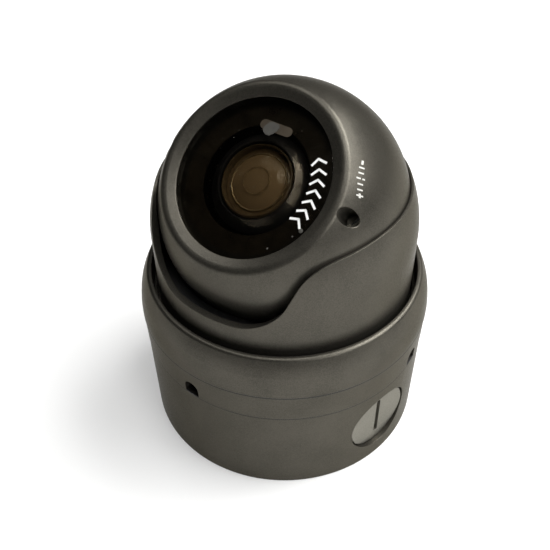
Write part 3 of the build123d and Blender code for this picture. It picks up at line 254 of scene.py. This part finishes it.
def add_slab(shape, outline, low, high, place=LENS_FRAME):
    """A flat plate: an outline of (across, up) points between two heights."""
    floor_ring = [shape.verts.new(place @ Vector((x, y, low))) for x, y in outline]
    roof_ring = [shape.verts.new(place @ Vector((x, y, high))) for x, y in outline]
    shape.faces.new(list(reversed(floor_ring)))
    shape.faces.new(roof_ring)
    for a in range(len(outline)):
        b = (a + 1) % len(outline)
        shape.faces.new((floor_ring[a], floor_ring[b], roof_ring[b], roof_ring[a]))


def disc_outline(x, y, radius, points=24):
    """Points of a circle."""
    turns = [2 * math.pi * step / points for step in range(points)]
    return [(x + radius * math.cos(t), y + radius * math.sin(t)) for t in turns]


def bar_outline(start, end, width):
    """The four corners of a straight bar between two points."""
    run = (Vector(end) - Vector(start)).normalized()
    side = Vector((-run.y, run.x)) * width / 2
    corners = (Vector(start) + side, Vector(start) - side, Vector(end) - side, Vector(end) + side)
    return [tuple(c) for c in corners]


def capsule_outline(start, end, radius, points=10):
    """A bar with round ends."""
    run = (Vector(end) - Vector(start)).normalized()
    heading = math.atan2(run.y, run.x)
    outline = []
    for centre, first in ((end, heading - math.pi / 2), (start, heading + math.pi / 2)):
        for step in range(points + 1):
            turn = first + math.pi * step / points
            outline.append(
                (centre[0] + radius * math.cos(turn), centre[1] + radius * math.sin(turn))
            )
    return outline


# ------------------------------------------------------------------ die-cast housings
# Box, plug, mount base, trim ring, cup and ball are aluminium castings, sprayed with a
# satin gunmetal paint that has fine metal flake in it, over a slight orange peel.
FLAKE = 0.28 * MM
FLAKE_SHARE = 0.6
FLAKE_GLOSS = 0.07
PEEL = 0.9 * MM
PEEL_DEPTH = 0.02 * MM
PEEL_STRENGTH = 0.35
MOTTLE = 14.0 * MM
METALLIC = 0.75
EDGE_ROUND = 0.5 * MM
EDGE_TINT = "aaa79f"
PLUG_EDGE = 0.12 * MM


def sprayed_gunmetal(name, dark, light, rough, edge=EDGE_ROUND):
    """Satin metallic paint; flake is drawn coarser than life so that it shows."""
    made, tree, shader = new_material(name, srgb(dark), Metallic=METALLIC, Roughness=rough)
    shader.inputs["Specular Tint"].default_value = srgb(EDGE_TINT)
    place = add_node(tree, "ShaderNodeTexCoord").outputs["Object"]
    flake = add_node(
        tree, "ShaderNodeTexVoronoi", {"Scale": 1 / FLAKE, "Randomness": 1.0}, {"Vector": place}
    )
    mottle = add_node(
        tree, "ShaderNodeTexNoise", {"Scale": 1 / MOTTLE, "Detail": 4.0}, {"Vector": place}
    )
    spark = add_node(tree, "ShaderNodeSeparateColor", {}, {"Color": flake.outputs["Color"]})
    blend = add_node(
        tree,
        "ShaderNodeMath",
        {"operation": "MULTIPLY_ADD", 1: FLAKE_SHARE},
        {0: spark.outputs["Red"], 2: mottle.outputs["Fac"]},
    )
    tone = add_node(
        tree,
        "ShaderNodeValToRGB",
        {"stops": [(0.35, srgb(dark)), (1.05, srgb(light))]},
        {"Fac": blend.outputs["Value"]},
    )
    tree.links.new(tone.outputs["Color"], shader.inputs["Base Color"])
    gloss = add_node(
        tree,
        "ShaderNodeMapRange",
        {"To Min": rough - FLAKE_GLOSS, "To Max": rough + FLAKE_GLOSS},
        {"Value": spark.outputs["Green"]},
    )
    tree.links.new(gloss.outputs["Result"], shader.inputs["Roughness"])
    peel = add_node(
        tree, "ShaderNodeTexNoise", {"Scale": 1 / PEEL, "Detail": 2.0}, {"Vector": place}
    )
    worn_edge = add_node(tree, "ShaderNodeBevel", {"samples": 4, "Radius": edge})
    bump = add_node(
        tree,
        "ShaderNodeBump",
        {"Strength": PEEL_STRENGTH, "Distance": PEEL_DEPTH},
        {"Height": peel.outputs["Fac"], "Normal": worn_edge.outputs["Normal"]},
    )
    tree.links.new(bump.outputs["Normal"], shader.inputs["Normal"])
    return made


def dress(node, material):
    """Give a carried-over CAD node its finish."""
    data = frame["nodes"][node].data
    data.materials.clear()
    data.materials.append(material)


housing_paint = sprayed_gunmetal("sprayed_gunmetal", "42403a", "524f48", 0.37)
for casting in (
    "junction_box",
    "mount_base",
    "trim_ring",
    "cup",
    "ball_front_shell",
    "ball_rear_shell",
):
    dress(casting, housing_paint)
# The plug wears the same paint in lighter tones: painted light on the face it turns towards the
# key lamp.
dress("conduit_plug", sprayed_gunmetal("sprayed_plug_painted_light", "76746d", "84827a", 0.40, PLUG_EDGE))

# ------------------------------------------------------------------ seals, plastics, metals
# Small parts share one recipe: a base colour that wanders between two tones, with a
# grain in the surface. Grain is the size of the real texture, or 0.2 mm if finer.
CLOUD_GRAINS = 8
GLOSS_SWING = 0.08
GLOSS_FLOOR = 0.02
GRAIN_STRENGTH = 0.5


def grained(name, dark, light, rough, grain, depth, **sockets):
    """Mottled colour, uneven gloss and a grain; grain and its depth are in millimetres."""
    made, tree, shader = new_material(name, srgb(dark), Roughness=rough, **sockets)
    place = add_node(tree, "ShaderNodeTexCoord").outputs["Object"]
    cloud = add_node(
        tree,
        "ShaderNodeTexNoise",
        {"Scale": 1 / (grain * CLOUD_GRAINS * MM), "Detail": 5.0},
        {"Vector": place},
    )
    fine = add_node(
        tree, "ShaderNodeTexNoise", {"Scale": 1 / (grain * MM), "Detail": 2.0}, {"Vector": place}
    )
    tone = add_node(
        tree,
        "ShaderNodeValToRGB",
        {"stops": [(0.3, srgb(dark)), (0.7, srgb(light))]},
        {"Fac": cloud.outputs["Fac"]},
    )
    tree.links.new(tone.outputs["Color"], shader.inputs["Base Color"])
    gloss = add_node(
        tree,
        "ShaderNodeMapRange",
        {"To Min": max(rough - GLOSS_SWING, GLOSS_FLOOR), "To Max": min(rough + GLOSS_SWING, 1.0)},
        {"Value": cloud.outputs["Fac"]},
    )
    tree.links.new(gloss.outputs["Result"], shader.inputs["Roughness"])
    bump = add_node(
        tree,
        "ShaderNodeBump",
        {"Strength": GRAIN_STRENGTH, "Distance": depth * MM},
        {"Height": fine.outputs["Fac"]},
    )
    tree.links.new(bump.outputs["Normal"], shader.inputs["Normal"])
    return made


rubber_and_seam_shade = grained("seal_rubber", "151514", "21211f", 0.72, 0.3, 0.03)
screw_steel = grained("zinc_plated_steel", "8b8b86", "a6a59f", 0.3, 0.25, 0.01, Metallic=1.0)
spring_steel = grained("spring_steel", "6f6d68", "8a8882", 0.28, 0.3, 0.01, Metallic=1.0)
chrome = grained("bright_chrome", "c9c9c6", "dededb", 0.12, 0.2, 0.003, Metallic=1.0)
acetal = grained("natural_acetal", "d2d0c8", "dedcd4", 0.42, 0.4, 0.01)
black_plastic = grained("moulded_black_plastic", "121212", "1b1b1a", 0.5, 0.25, 0.03)
gear_plastic = grained("gear_acetal", "1b1b1c", "28282a", 0.38, 0.25, 0.01)
anodised = grained("black_anodised_aluminium", "191817", "262422", 0.34, 0.2, 0.01, Metallic=0.8)
plate_metal = grained("stamped_aluminium", "9c9c9a", "b0afac", 0.36, 0.4, 0.01, Metallic=1.0)
brass = grained("turned_brass", "9a8350", "b79c62", 0.3, 0.2, 0.01, Metallic=1.0)
nylon = grained("connector_nylon", "cfccbf", "dcd9cc", 0.45, 0.3, 0.01)
chip_epoxy = grained("chip_epoxy", "19191a", "242425", 0.5, 0.2, 0.02)
solder = grained("solder", "a9aaa8", "c4c5c2", 0.25, 0.3, 0.02, Metallic=1.0)
ceramic = grained("capacitor_ceramic", "8a6f4c", "9c8260", 0.4, 0.3, 0.01)

for node, material in {
    "conduit_plug_seal": rubber_and_seam_shade,
    "box_gasket": rubber_and_seam_shade,
    "cable_grommet": rubber_and_seam_shade,
    "ball_seal": rubber_and_seam_shade,
    "ball_cable_grommet": rubber_and_seam_shade,
    "window_gasket": rubber_and_seam_shade,
    "adjuster_seals": rubber_and_seam_shade,
    "mount_base_screws": screw_steel,
    "ball_screws": screw_steel,
    "chassis_screws": screw_steel,
    "board_screws": screw_steel,
    "trim_lock_screw": screw_steel,
    "idler_pins": screw_steel,
    "wave_spring": spring_steel,
    "focus_adjuster": chrome,
    "zoom_adjuster": chrome,
    "lower_slip_ring": acetal,
    "upper_slip_ring": acetal,
    "adjuster_bushes": acetal,
    "ball_support_ring": black_plastic,
    "lens_mount": black_plastic,
    "ir_cut_actuator": black_plastic,
    "window_retaining_ring": black_plastic,
    "focus_ring": gear_plastic,
    "focus_idler": gear_plastic,
    "zoom_ring": gear_plastic,
    "zoom_idler": gear_plastic,
    "inner_lens_cell": anodised,
    "chassis_plate": plate_metal,
    "led_board_posts": brass,
    "board_posts": brass,
    "cable_connector": nylon,
    "image_sensor": chip_epoxy,
}.items():
    dress(node, material)

# ------------------------------------------------------------------ painted shade in the seams of the base
# Where two castings meet, a thin dark ring fills the groove: painted shade for the shadow in the
# joint.
SEAM_DEEP = 0.5 * MM
SEAM_SUNK = 0.01 * MM
SEAM_HALF = 0.26 * MM

for seam, casting in (("lower_seam_painted_shade", "junction_box"), ("upper_seam_painted_shade", "trim_ring")):
    low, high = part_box(casting)
    level = high.z if casting == "junction_box" else low.z
    outer, inner = high.x - SEAM_SUNK, high.x - SEAM_DEEP
    seam_shade = bmesh.new()
    add_lathe(
        seam_shade,
        [
            (inner, level - SEAM_HALF),
            (outer, level - SEAM_HALF),
            (outer, level + SEAM_HALF),
            (inner, level + SEAM_HALF),
        ],
        Matrix.Identity(4),
        SEGMENTS * 2,
    )
    finish_piece(seam, seam_shade, "base", rubber_and_seam_shade)

# ------------------------------------------------------------------ window
# A disc of toughened glass, pushed up against the ball's lip. Its back is printed with an
# opaque black border and a dark band that only infrared passes, over the lamps.
SMEAR = 6 * MM
SMEAR_ROUGH = 0.06
SLANT_POWER = 5.0
PRINT_T = 0.03 * MM
PRINT_CLEAR = 0.3 * MM
BORDER_W = 2.1 * MM
INK_INNER_GAP = 1.6 * MM


def see_through(name, tint, ior, rough):
    """Thin clear stuff: each face tints what is behind it and mirrors more at a slant.

    The mirror strength is the same from both sides, so light leaves it as it came in.
    """
    made, tree, shader = new_material(name, srgb(tint))
    tree.nodes.remove(shader)
    place = add_node(tree, "ShaderNodeTexCoord").outputs["Object"]
    clear = add_node(tree, "ShaderNodeBsdfTransparent", {"Color": srgb(tint)})
    smear = add_node(
        tree, "ShaderNodeTexNoise", {"Scale": 1 / SMEAR, "Detail": 4.0}, {"Vector": place}
    )
    rub = add_node(
        tree,
        "ShaderNodeMapRange",
        {"From Min": 0.35, "From Max": 0.75, "To Min": rough, "To Max": rough + SMEAR_ROUGH},
        {"Value": smear.outputs["Fac"]},
    )
    shine = add_node(
        tree,
        "ShaderNodeBsdfGlossy",
        {"Color": srgb("ffffff")},
        {"Roughness": rub.outputs["Result"]},
    )
    facing = add_node(tree, "ShaderNodeLayerWeight", {"Blend": 0.5})
    steep = add_node(
        tree,
        "ShaderNodeMath",
        {1: SLANT_POWER, "operation": "POWER"},
        {0: facing.outputs["Facing"]},
    )
    square_on = ((ior - 1) / (ior + 1)) ** 2
    slant = add_node(
        tree,
        "ShaderNodeMath",
        {1: 1 - square_on, 2: square_on, "operation": "MULTIPLY_ADD"},
        {0: steep.outputs["Value"]},
    )
    both = add_node(
        tree,
        "ShaderNodeMixShader",
        {},
        {0: slant.outputs["Value"], 1: clear.outputs["BSDF"], 2: shine.outputs["BSDF"]},
    )
    tree.links.new(both.outputs["Shader"], tree.nodes["Material Output"].inputs["Surface"])
    return made


glass_low, _, glass_radius = lens_span("window_glass")
_, film_top, film_radius = lens_span("protective_film")
hood_radius = lens_span("lens_hood")[2]
border_inner = film_radius - BORDER_W
dress("window_glass", see_through("smoked_glass", "f3efe8", 1.5, 0.01))
border_ink = grained("black_border_ink", "080807", "0d0d0c", 0.35, 0.4, 0.004)
infrared_ink = grained("infrared_pass_ink", "13110e", "1a1713", 0.3, 0.6, 0.004)


def printed_ring(name, inner, outer, material):
    """A printed ring on the back of the glass."""
    shape = bmesh.new()
    back = glass_low - PRINT_T
    add_lathe(shape, [(inner, back), (outer, back), (outer, glass_low), (inner, glass_low)])
    finish_piece(name, shape, "ball", material)


printed_ring("window_border_print", border_inner, glass_radius - PRINT_CLEAR, border_ink)
printed_ring("window_infrared_band", hood_radius + INK_INNER_GAP, border_inner, infrared_ink)

# ------------------------------------------------------------------ peel-off film
# A clear film on the glass with a row of white arrowheads that point to its pull tab,
# the tab itself, the glue patch behind it, a few air bubbles and some dust.
MARKS = 7
MARK_FIRST = -22.0
MARK_LAST = 30.0
MARK_INNER = 20.9 * MM
MARK_OUTER = 26.1 * MM
MARK_STROKE = 0.8 * MM
MARK_LEAN = 4.6
INK_T = 0.02 * MM
TAB_T = 0.12 * MM
TAB_CORNER = 0.5 * MM
# Across and up from the lens axis, in millimetres.
TAB_OUTLINE = (
    (-4.5, 16.5),
    (-4.1, 15.6),
    (-1.7, 14.4),
    (-0.3, 15.2),
    (1.4, 17.6),
    (1.5, 19.2),
    (-2.6, 19.7),
)
PATCH_START = (-4.4 * MM, 18.0 * MM)
PATCH_END = (4.8 * MM, 18.0 * MM)
PATCH_R = 1.7 * MM
# Across, up and radius of each bubble, in millimetres.
BUBBLES = ((24.9, -10.2, 0.75), (17.0, -19.7, 0.35), (23.1, -12.9, 0.3))
BUBBLE_RISE = 0.08 * MM
SPECKS = 14
SPECK_REACH = (0.1, 0.94)
SPECK_SIZES = (0.05, 0.13)
SPECK_RISE = 0.05 * MM
dress("protective_film", see_through("clear_film", "f4f3f0", 1.28, 0.03))
white_ink = grained("white_ink", "dfe0de", "eeeeec", 0.5, 0.2, 0.005)
tab_film = grained("frosted_tab_film", "34332f", "44423d", 0.5, 0.5, 0.005)
glue_patch = grained("glue_patch", "322c24", "40392f", 0.3, 0.8, 0.02)
dust = grained("dust", "57554f", "7b7973", 0.9, 0.2, 0.02)


def polar(radius, degrees):
    """A point in the window's plane."""
    turn = math.radians(degrees)
    return (radius * math.cos(turn), radius * math.sin(turn))


marks = bmesh.new()
mark_middle = (MARK_INNER + MARK_OUTER) / 2
for number in range(MARKS):
    angle = MARK_FIRST + (MARK_LAST - MARK_FIRST) * number / (MARKS - 1)
    tip = polar(mark_middle, angle + MARK_LEAN)
    for end_radius in (MARK_INNER, MARK_OUTER):
        stroke = bar_outline(polar(end_radius, angle), tip, MARK_STROKE)
        add_slab(marks, stroke, film_top, film_top + INK_T)
    add_slab(marks, disc_outline(*tip, MARK_STROKE / 2), film_top, film_top + INK_T)
finish_piece("film_arrow_marks", marks, "ball", white_ink, smooth=False)

tab = bmesh.new()
tab_points = [(x * MM, y * MM) for x, y in TAB_OUTLINE]
add_slab(tab, tab_points, film_top, film_top + TAB_T)
bmesh.ops.bevel(
    tab,
    geom=[e for e in tab.edges if abs((e.verts[0].co - e.verts[1].co).dot(OUT)) > TAB_T / 2],
    offset=TAB_CORNER,
    segments=4,
    affect="EDGES",
)
finish_piece("film_pull_tab", tab, "ball", tab_film)
patch = bmesh.new()
add_slab(
    patch,
    capsule_outline(PATCH_START, PATCH_END, PATCH_R),
    film_top,
    film_top + INK_T / 2,
)
finish_piece("film_glue_patch", patch, "ball", glue_patch)


def add_bubble(shape, x, y, radius, height):
    """A low round blister on the film."""
    steps = 5
    arc = [math.pi / 2 * step / steps for step in range(steps)]
    profile = [(radius * math.cos(t), film_top + height * math.sin(t)) for t in arc]
    shift = LENS_FRAME @ Matrix.Translation((x, y, 0))
    add_lathe(shape, [*profile, (0.0, film_top + height), (0.0, film_top)], shift, 20)


blisters = bmesh.new()
for x, y, size in BUBBLES:
    add_bubble(blisters, x * MM, y * MM, size * MM, BUBBLE_RISE)
finish_piece("film_bubbles", blisters, "ball", tab_film)
chance = random.Random(7)
specks = bmesh.new()
for _ in range(SPECKS):
    x, y = polar(chance.uniform(*SPECK_REACH) * film_radius, chance.uniform(0, 360))
    add_bubble(specks, x, y, chance.uniform(*SPECK_SIZES) * MM, SPECK_RISE)
finish_piece("film_dust", specks, "ball", dust)

# ------------------------------------------------------------------ lens and hood
# A multi-coated front element in a bronze-brown barrel, with a retaining ring on it and the
# edge of the next element showing as a smaller ring. A flat brown layer in the front element
# is painted reflection, for the amber glow of its coating. The glossy black hood stands just
# behind the glass and keeps lamp light out; its front edge is bevelled.
RETAINER_R = 10.1 * MM
RETAINER_BAR = 0.35 * MM
INNER_RING_R = 4.8 * MM
INNER_RING_BAR = 0.1 * MM
COATING_PAINTED_REFLECTION = 0.6
RING_POINTS = 12
RIM_SHARE = 0.99
hood_gloss = grained("polished_black_hood", "141519", "1c1e23", 0.33, 0.5, 0.006, Coat_Weight=0.7)
dress("lens_hood", hood_gloss)
front_coating_and_painted_reflection = see_through("amber_lens_coating_and_painted_reflection", "f0e2c4", 1.6, 0.02)
tree = front_coating_and_painted_reflection.node_tree
# Painted reflection: a flat brown diffuse layer, mixed over the clear coating, stands in for the
# coating's amber reflection.
painted_reflection_layer = add_node(tree, "ShaderNodeBsdfDiffuse", {"Color": srgb("85745c")})
coating_with_painted_reflection = add_node(
    tree,
    "ShaderNodeMixShader",
    {0: COATING_PAINTED_REFLECTION},
    {1: tree.nodes["Mix Shader"].outputs["Shader"], 2: painted_reflection_layer.outputs["BSDF"]},
)
tree.links.new(coating_with_painted_reflection.outputs["Shader"], tree.nodes["Material Output"].inputs["Surface"])
dress("front_lens", front_coating_and_painted_reflection)
inner_coating = grained(
    "inner_lens_coating", "8a7350", "a0875f", 0.12, 1.5, 0.005, Metallic=0.3, Coat_Weight=1.0
)
dress("inner_lens", inner_coating)
baffle_lacquer = grained("baffle_lacquer", "6d5b3e", "7d6a4a", 0.4, 0.5, 0.01)
dress("inner_lens_cell", baffle_lacquer)
dress("lens_barrel", grained("bronze_anodised_barrel", "3a3226", "4a4030", 0.35, 0.3, 0.01))


def add_torus(shape, ring_r, height, bar_r):
    """A round bar bent into a ring round the lens axis."""
    turns = [2 * math.pi * step / RING_POINTS for step in range(RING_POINTS)]
    add_lathe(
        shape,
        [(ring_r + bar_r * math.cos(t), height + bar_r * math.sin(t)) for t in turns],
    )


retainer = bmesh.new()
glass_dome = [LENS_FRAME.inverted() @ v.co for v in frame["nodes"]["front_lens"].data.vertices]
dome_top = max(p.z for p in glass_dome)
dome_reach = max(p.xy.length for p in glass_dome)
dome_edge = max(p.z for p in glass_dome if p.xy.length > RIM_SHARE * dome_reach)
seat = dome_top - (dome_top - dome_edge) * (RETAINER_R / dome_reach) ** 2
add_torus(retainer, RETAINER_R, seat, RETAINER_BAR)
add_torus(retainer, INNER_RING_R, dome_top, INNER_RING_BAR)
retainer_metal = grained("lens_retainer", "6b5f49", "85785f", 0.3, 0.3, 0.01, Metallic=0.6)
finish_piece("lens_retaining_ring", retainer, "ball", retainer_metal)

# ------------------------------------------------------------------ lamp ring
# Infrared lamps are dark epoxy domes, each over a bright reflector cup with a square die;
# the light sensor is a clear one. Their board is lacquered black, the boards behind green.
CUP_FLOOR = 1.2 * MM
CUP_RIM = 2.4 * MM
DIE = 0.35 * MM
LED_R = 2.4 * MM
LED_STEP = 15
LED_PLACES = 360 // LED_STEP
# Radius and height round each lamp's own axis.
REFLECTOR = (
    (0.0, CUP_FLOOR - DIE),
    (1.5 * MM, CUP_FLOOR),
    (1.8 * MM, CUP_RIM),
    (1.7 * MM, CUP_RIM),
    (0.9 * MM, CUP_FLOOR),
    (0.0, CUP_FLOOR),
)
board_green = grained("green_solder_mask", "10301c", "184026", 0.3, 0.5, 0.01, Coat_Weight=0.4)
for board in ("sensor_board", "main_board"):
    dress(board, board_green)
dress("led_board", grained("black_solder_mask", "0c0d0c", "141514", 0.35, 0.5, 0.01))
dress("ir_leds", see_through("lamp_resin", "4a4348", 1.5, 0.03))
dress("light_sensor", see_through("sensor_resin", "d8d2c2", 1.5, 0.03))
dress("ir_cut_filter", see_through("infrared_cut_glass", "9fc6cc", 1.5, 0.01))
led_low, _, led_reach = lens_span("ir_leds")
led_places = set()
for vertex in frame["nodes"]["ir_leds"].data.vertices:
    spot = LENS_FRAME.inverted() @ vertex.co
    bearing = math.degrees(math.atan2(spot.y, spot.x)) % 360
    led_places.add(round(bearing / LED_STEP) % LED_PLACES)
led_ring = led_reach - LED_R
die_outline = [(-DIE, -DIE), (DIE, -DIE), (DIE, DIE), (-DIE, DIE)]
dies = bmesh.new()
reflectors = bmesh.new()
for place in sorted(led_places):
    x, y = polar(led_ring, place * LED_STEP)
    spot = LENS_FRAME @ Matrix.Translation((x, y, led_low))
    add_slab(dies, die_outline, CUP_FLOOR, CUP_FLOOR + DIE, spot)
    add_lathe(reflectors, REFLECTOR, spot, 24)
finish_piece("lamp_dies", dies, "ball", chip_epoxy, smooth=False)
finish_piece("lamp_reflectors", reflectors, "ball", solder)

# ------------------------------------------------------------------ board components
# Chips and capacitors on the backs of the two boards, set out by a grid that leaves out its
# corners. They are soldered on by a pad at each side.
PARTS_PITCH = 6.4 * MM
PART_HEIGHTS = (1.1 * MM, 1.9 * MM, 2.6 * MM)
# Half the side of the smallest part and how much each larger kind adds, in millimetres.
PART_HALF = 0.9
PART_STEP = 0.7
PAD_SHARE = 0.7
PAD_W = 0.5 * MM
PAD_T = 0.12 * MM
OUTER_ROW = 2
COLUMNS = range(-OUTER_ROW, OUTER_ROW + 1)
chips = bmesh.new()
capacitors = bmesh.new()
pads = bmesh.new()
for board, rows in (("main_board", (-2, -1, 1, 2)), ("sensor_board", (-2, 2))):
    board_back = lens_span(board)[0]
    for row in rows:
        for column in COLUMNS:
            if abs(row) == abs(column) == OUTER_ROW:
                continue
            kind = (row * 3 + column * 2) % len(PART_HEIGHTS)
            half = (PART_HALF + PART_STEP * kind) * MM
            x, y = column * PARTS_PITCH, row * PARTS_PITCH
            top = board_back - PART_HEIGHTS[kind]
            outline = [(x - half, y - half), (x + half, y - half), (x + half, y + half)]
            outline.append((x - half, y + half))
            add_slab(chips if kind else capacitors, outline, top, board_back)
            for side in (-1, 1):
                edge = x + side * half
                reach = half * PAD_SHARE
                pad = bar_outline((edge, y - reach), (edge, y + reach), PAD_W)
                add_slab(pads, pad, board_back - PAD_T, board_back)
finish_piece("board_chips", chips, "ball", chip_epoxy, smooth=False)
finish_piece("board_capacitors", capacitors, "ball", ceramic, smooth=False)
finish_piece("board_solder", pads, "ball", solder, smooth=False)

# ------------------------------------------------------------------ focus scale
# Printed on the ball beside the adjuster's hole: a minus, five ticks and a plus, so that
# an installer can see which way to turn. The ink follows the ball.
SCALE_START = Vector((32.4, 17.9)) * MM
SCALE_END = Vector((36.4, 7.8)) * MM
TICKS = 5
TICK_W = 0.5 * MM
TICK_HALF = 0.65 * MM
MIDDLE_TICK_HALF = 1.0 * MM
# Half lengths of the minus and of the plus's upright, in millimetres.
SIGN_HALF = 0.7
CROSS_HALF = 0.8
ball_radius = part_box("ball_front_shell")[1].x
grey_ink = grained("pale_grey_ink", "b4b3ad", "c2c1bb", 0.5, 0.2, 0.005)


def on_ball(x, y, lift):
    """The point of the ball's surface over a place in the lens plane."""
    return Vector((x, y, math.sqrt(ball_radius**2 - x**2 - y**2))).normalized() * (
        ball_radius + lift
    )


def add_ball_bar(shape, start, end, width):
    """A thin printed bar that lies on the ball."""
    corners = bar_outline(start, end, width)
    low = [shape.verts.new(LENS_FRAME @ on_ball(*c, -INK_T)) for c in corners]
    high = [shape.verts.new(LENS_FRAME @ on_ball(*c, INK_T)) for c in corners]
    shape.faces.new(low)
    shape.faces.new(high)
    for a in range(4):
        b = (a + 1) % 4
        shape.faces.new((low[a], low[b], high[b], high[a]))


scale = bmesh.new()
run = (SCALE_END - SCALE_START).normalized()
rise = Vector((-run.y, run.x))
for number in range(TICKS + 2):
    middle = SCALE_START.lerp(SCALE_END, number / (TICKS + 1))
    if 0 < number <= TICKS:
        half = MIDDLE_TICK_HALF if number == (TICKS + 1) / 2 else TICK_HALF
        add_ball_bar(scale, middle - rise * half, middle + rise * half, TICK_W)
    else:
        arm = run * SIGN_HALF * MM
        add_ball_bar(scale, middle - arm, middle + arm, TICK_W)
        if number:
            arm = rise * CROSS_HALF * MM
            add_ball_bar(scale, middle - arm, middle + arm, TICK_W)
finish_piece("focus_scale_print", scale, "ball", grey_ink, smooth=False)
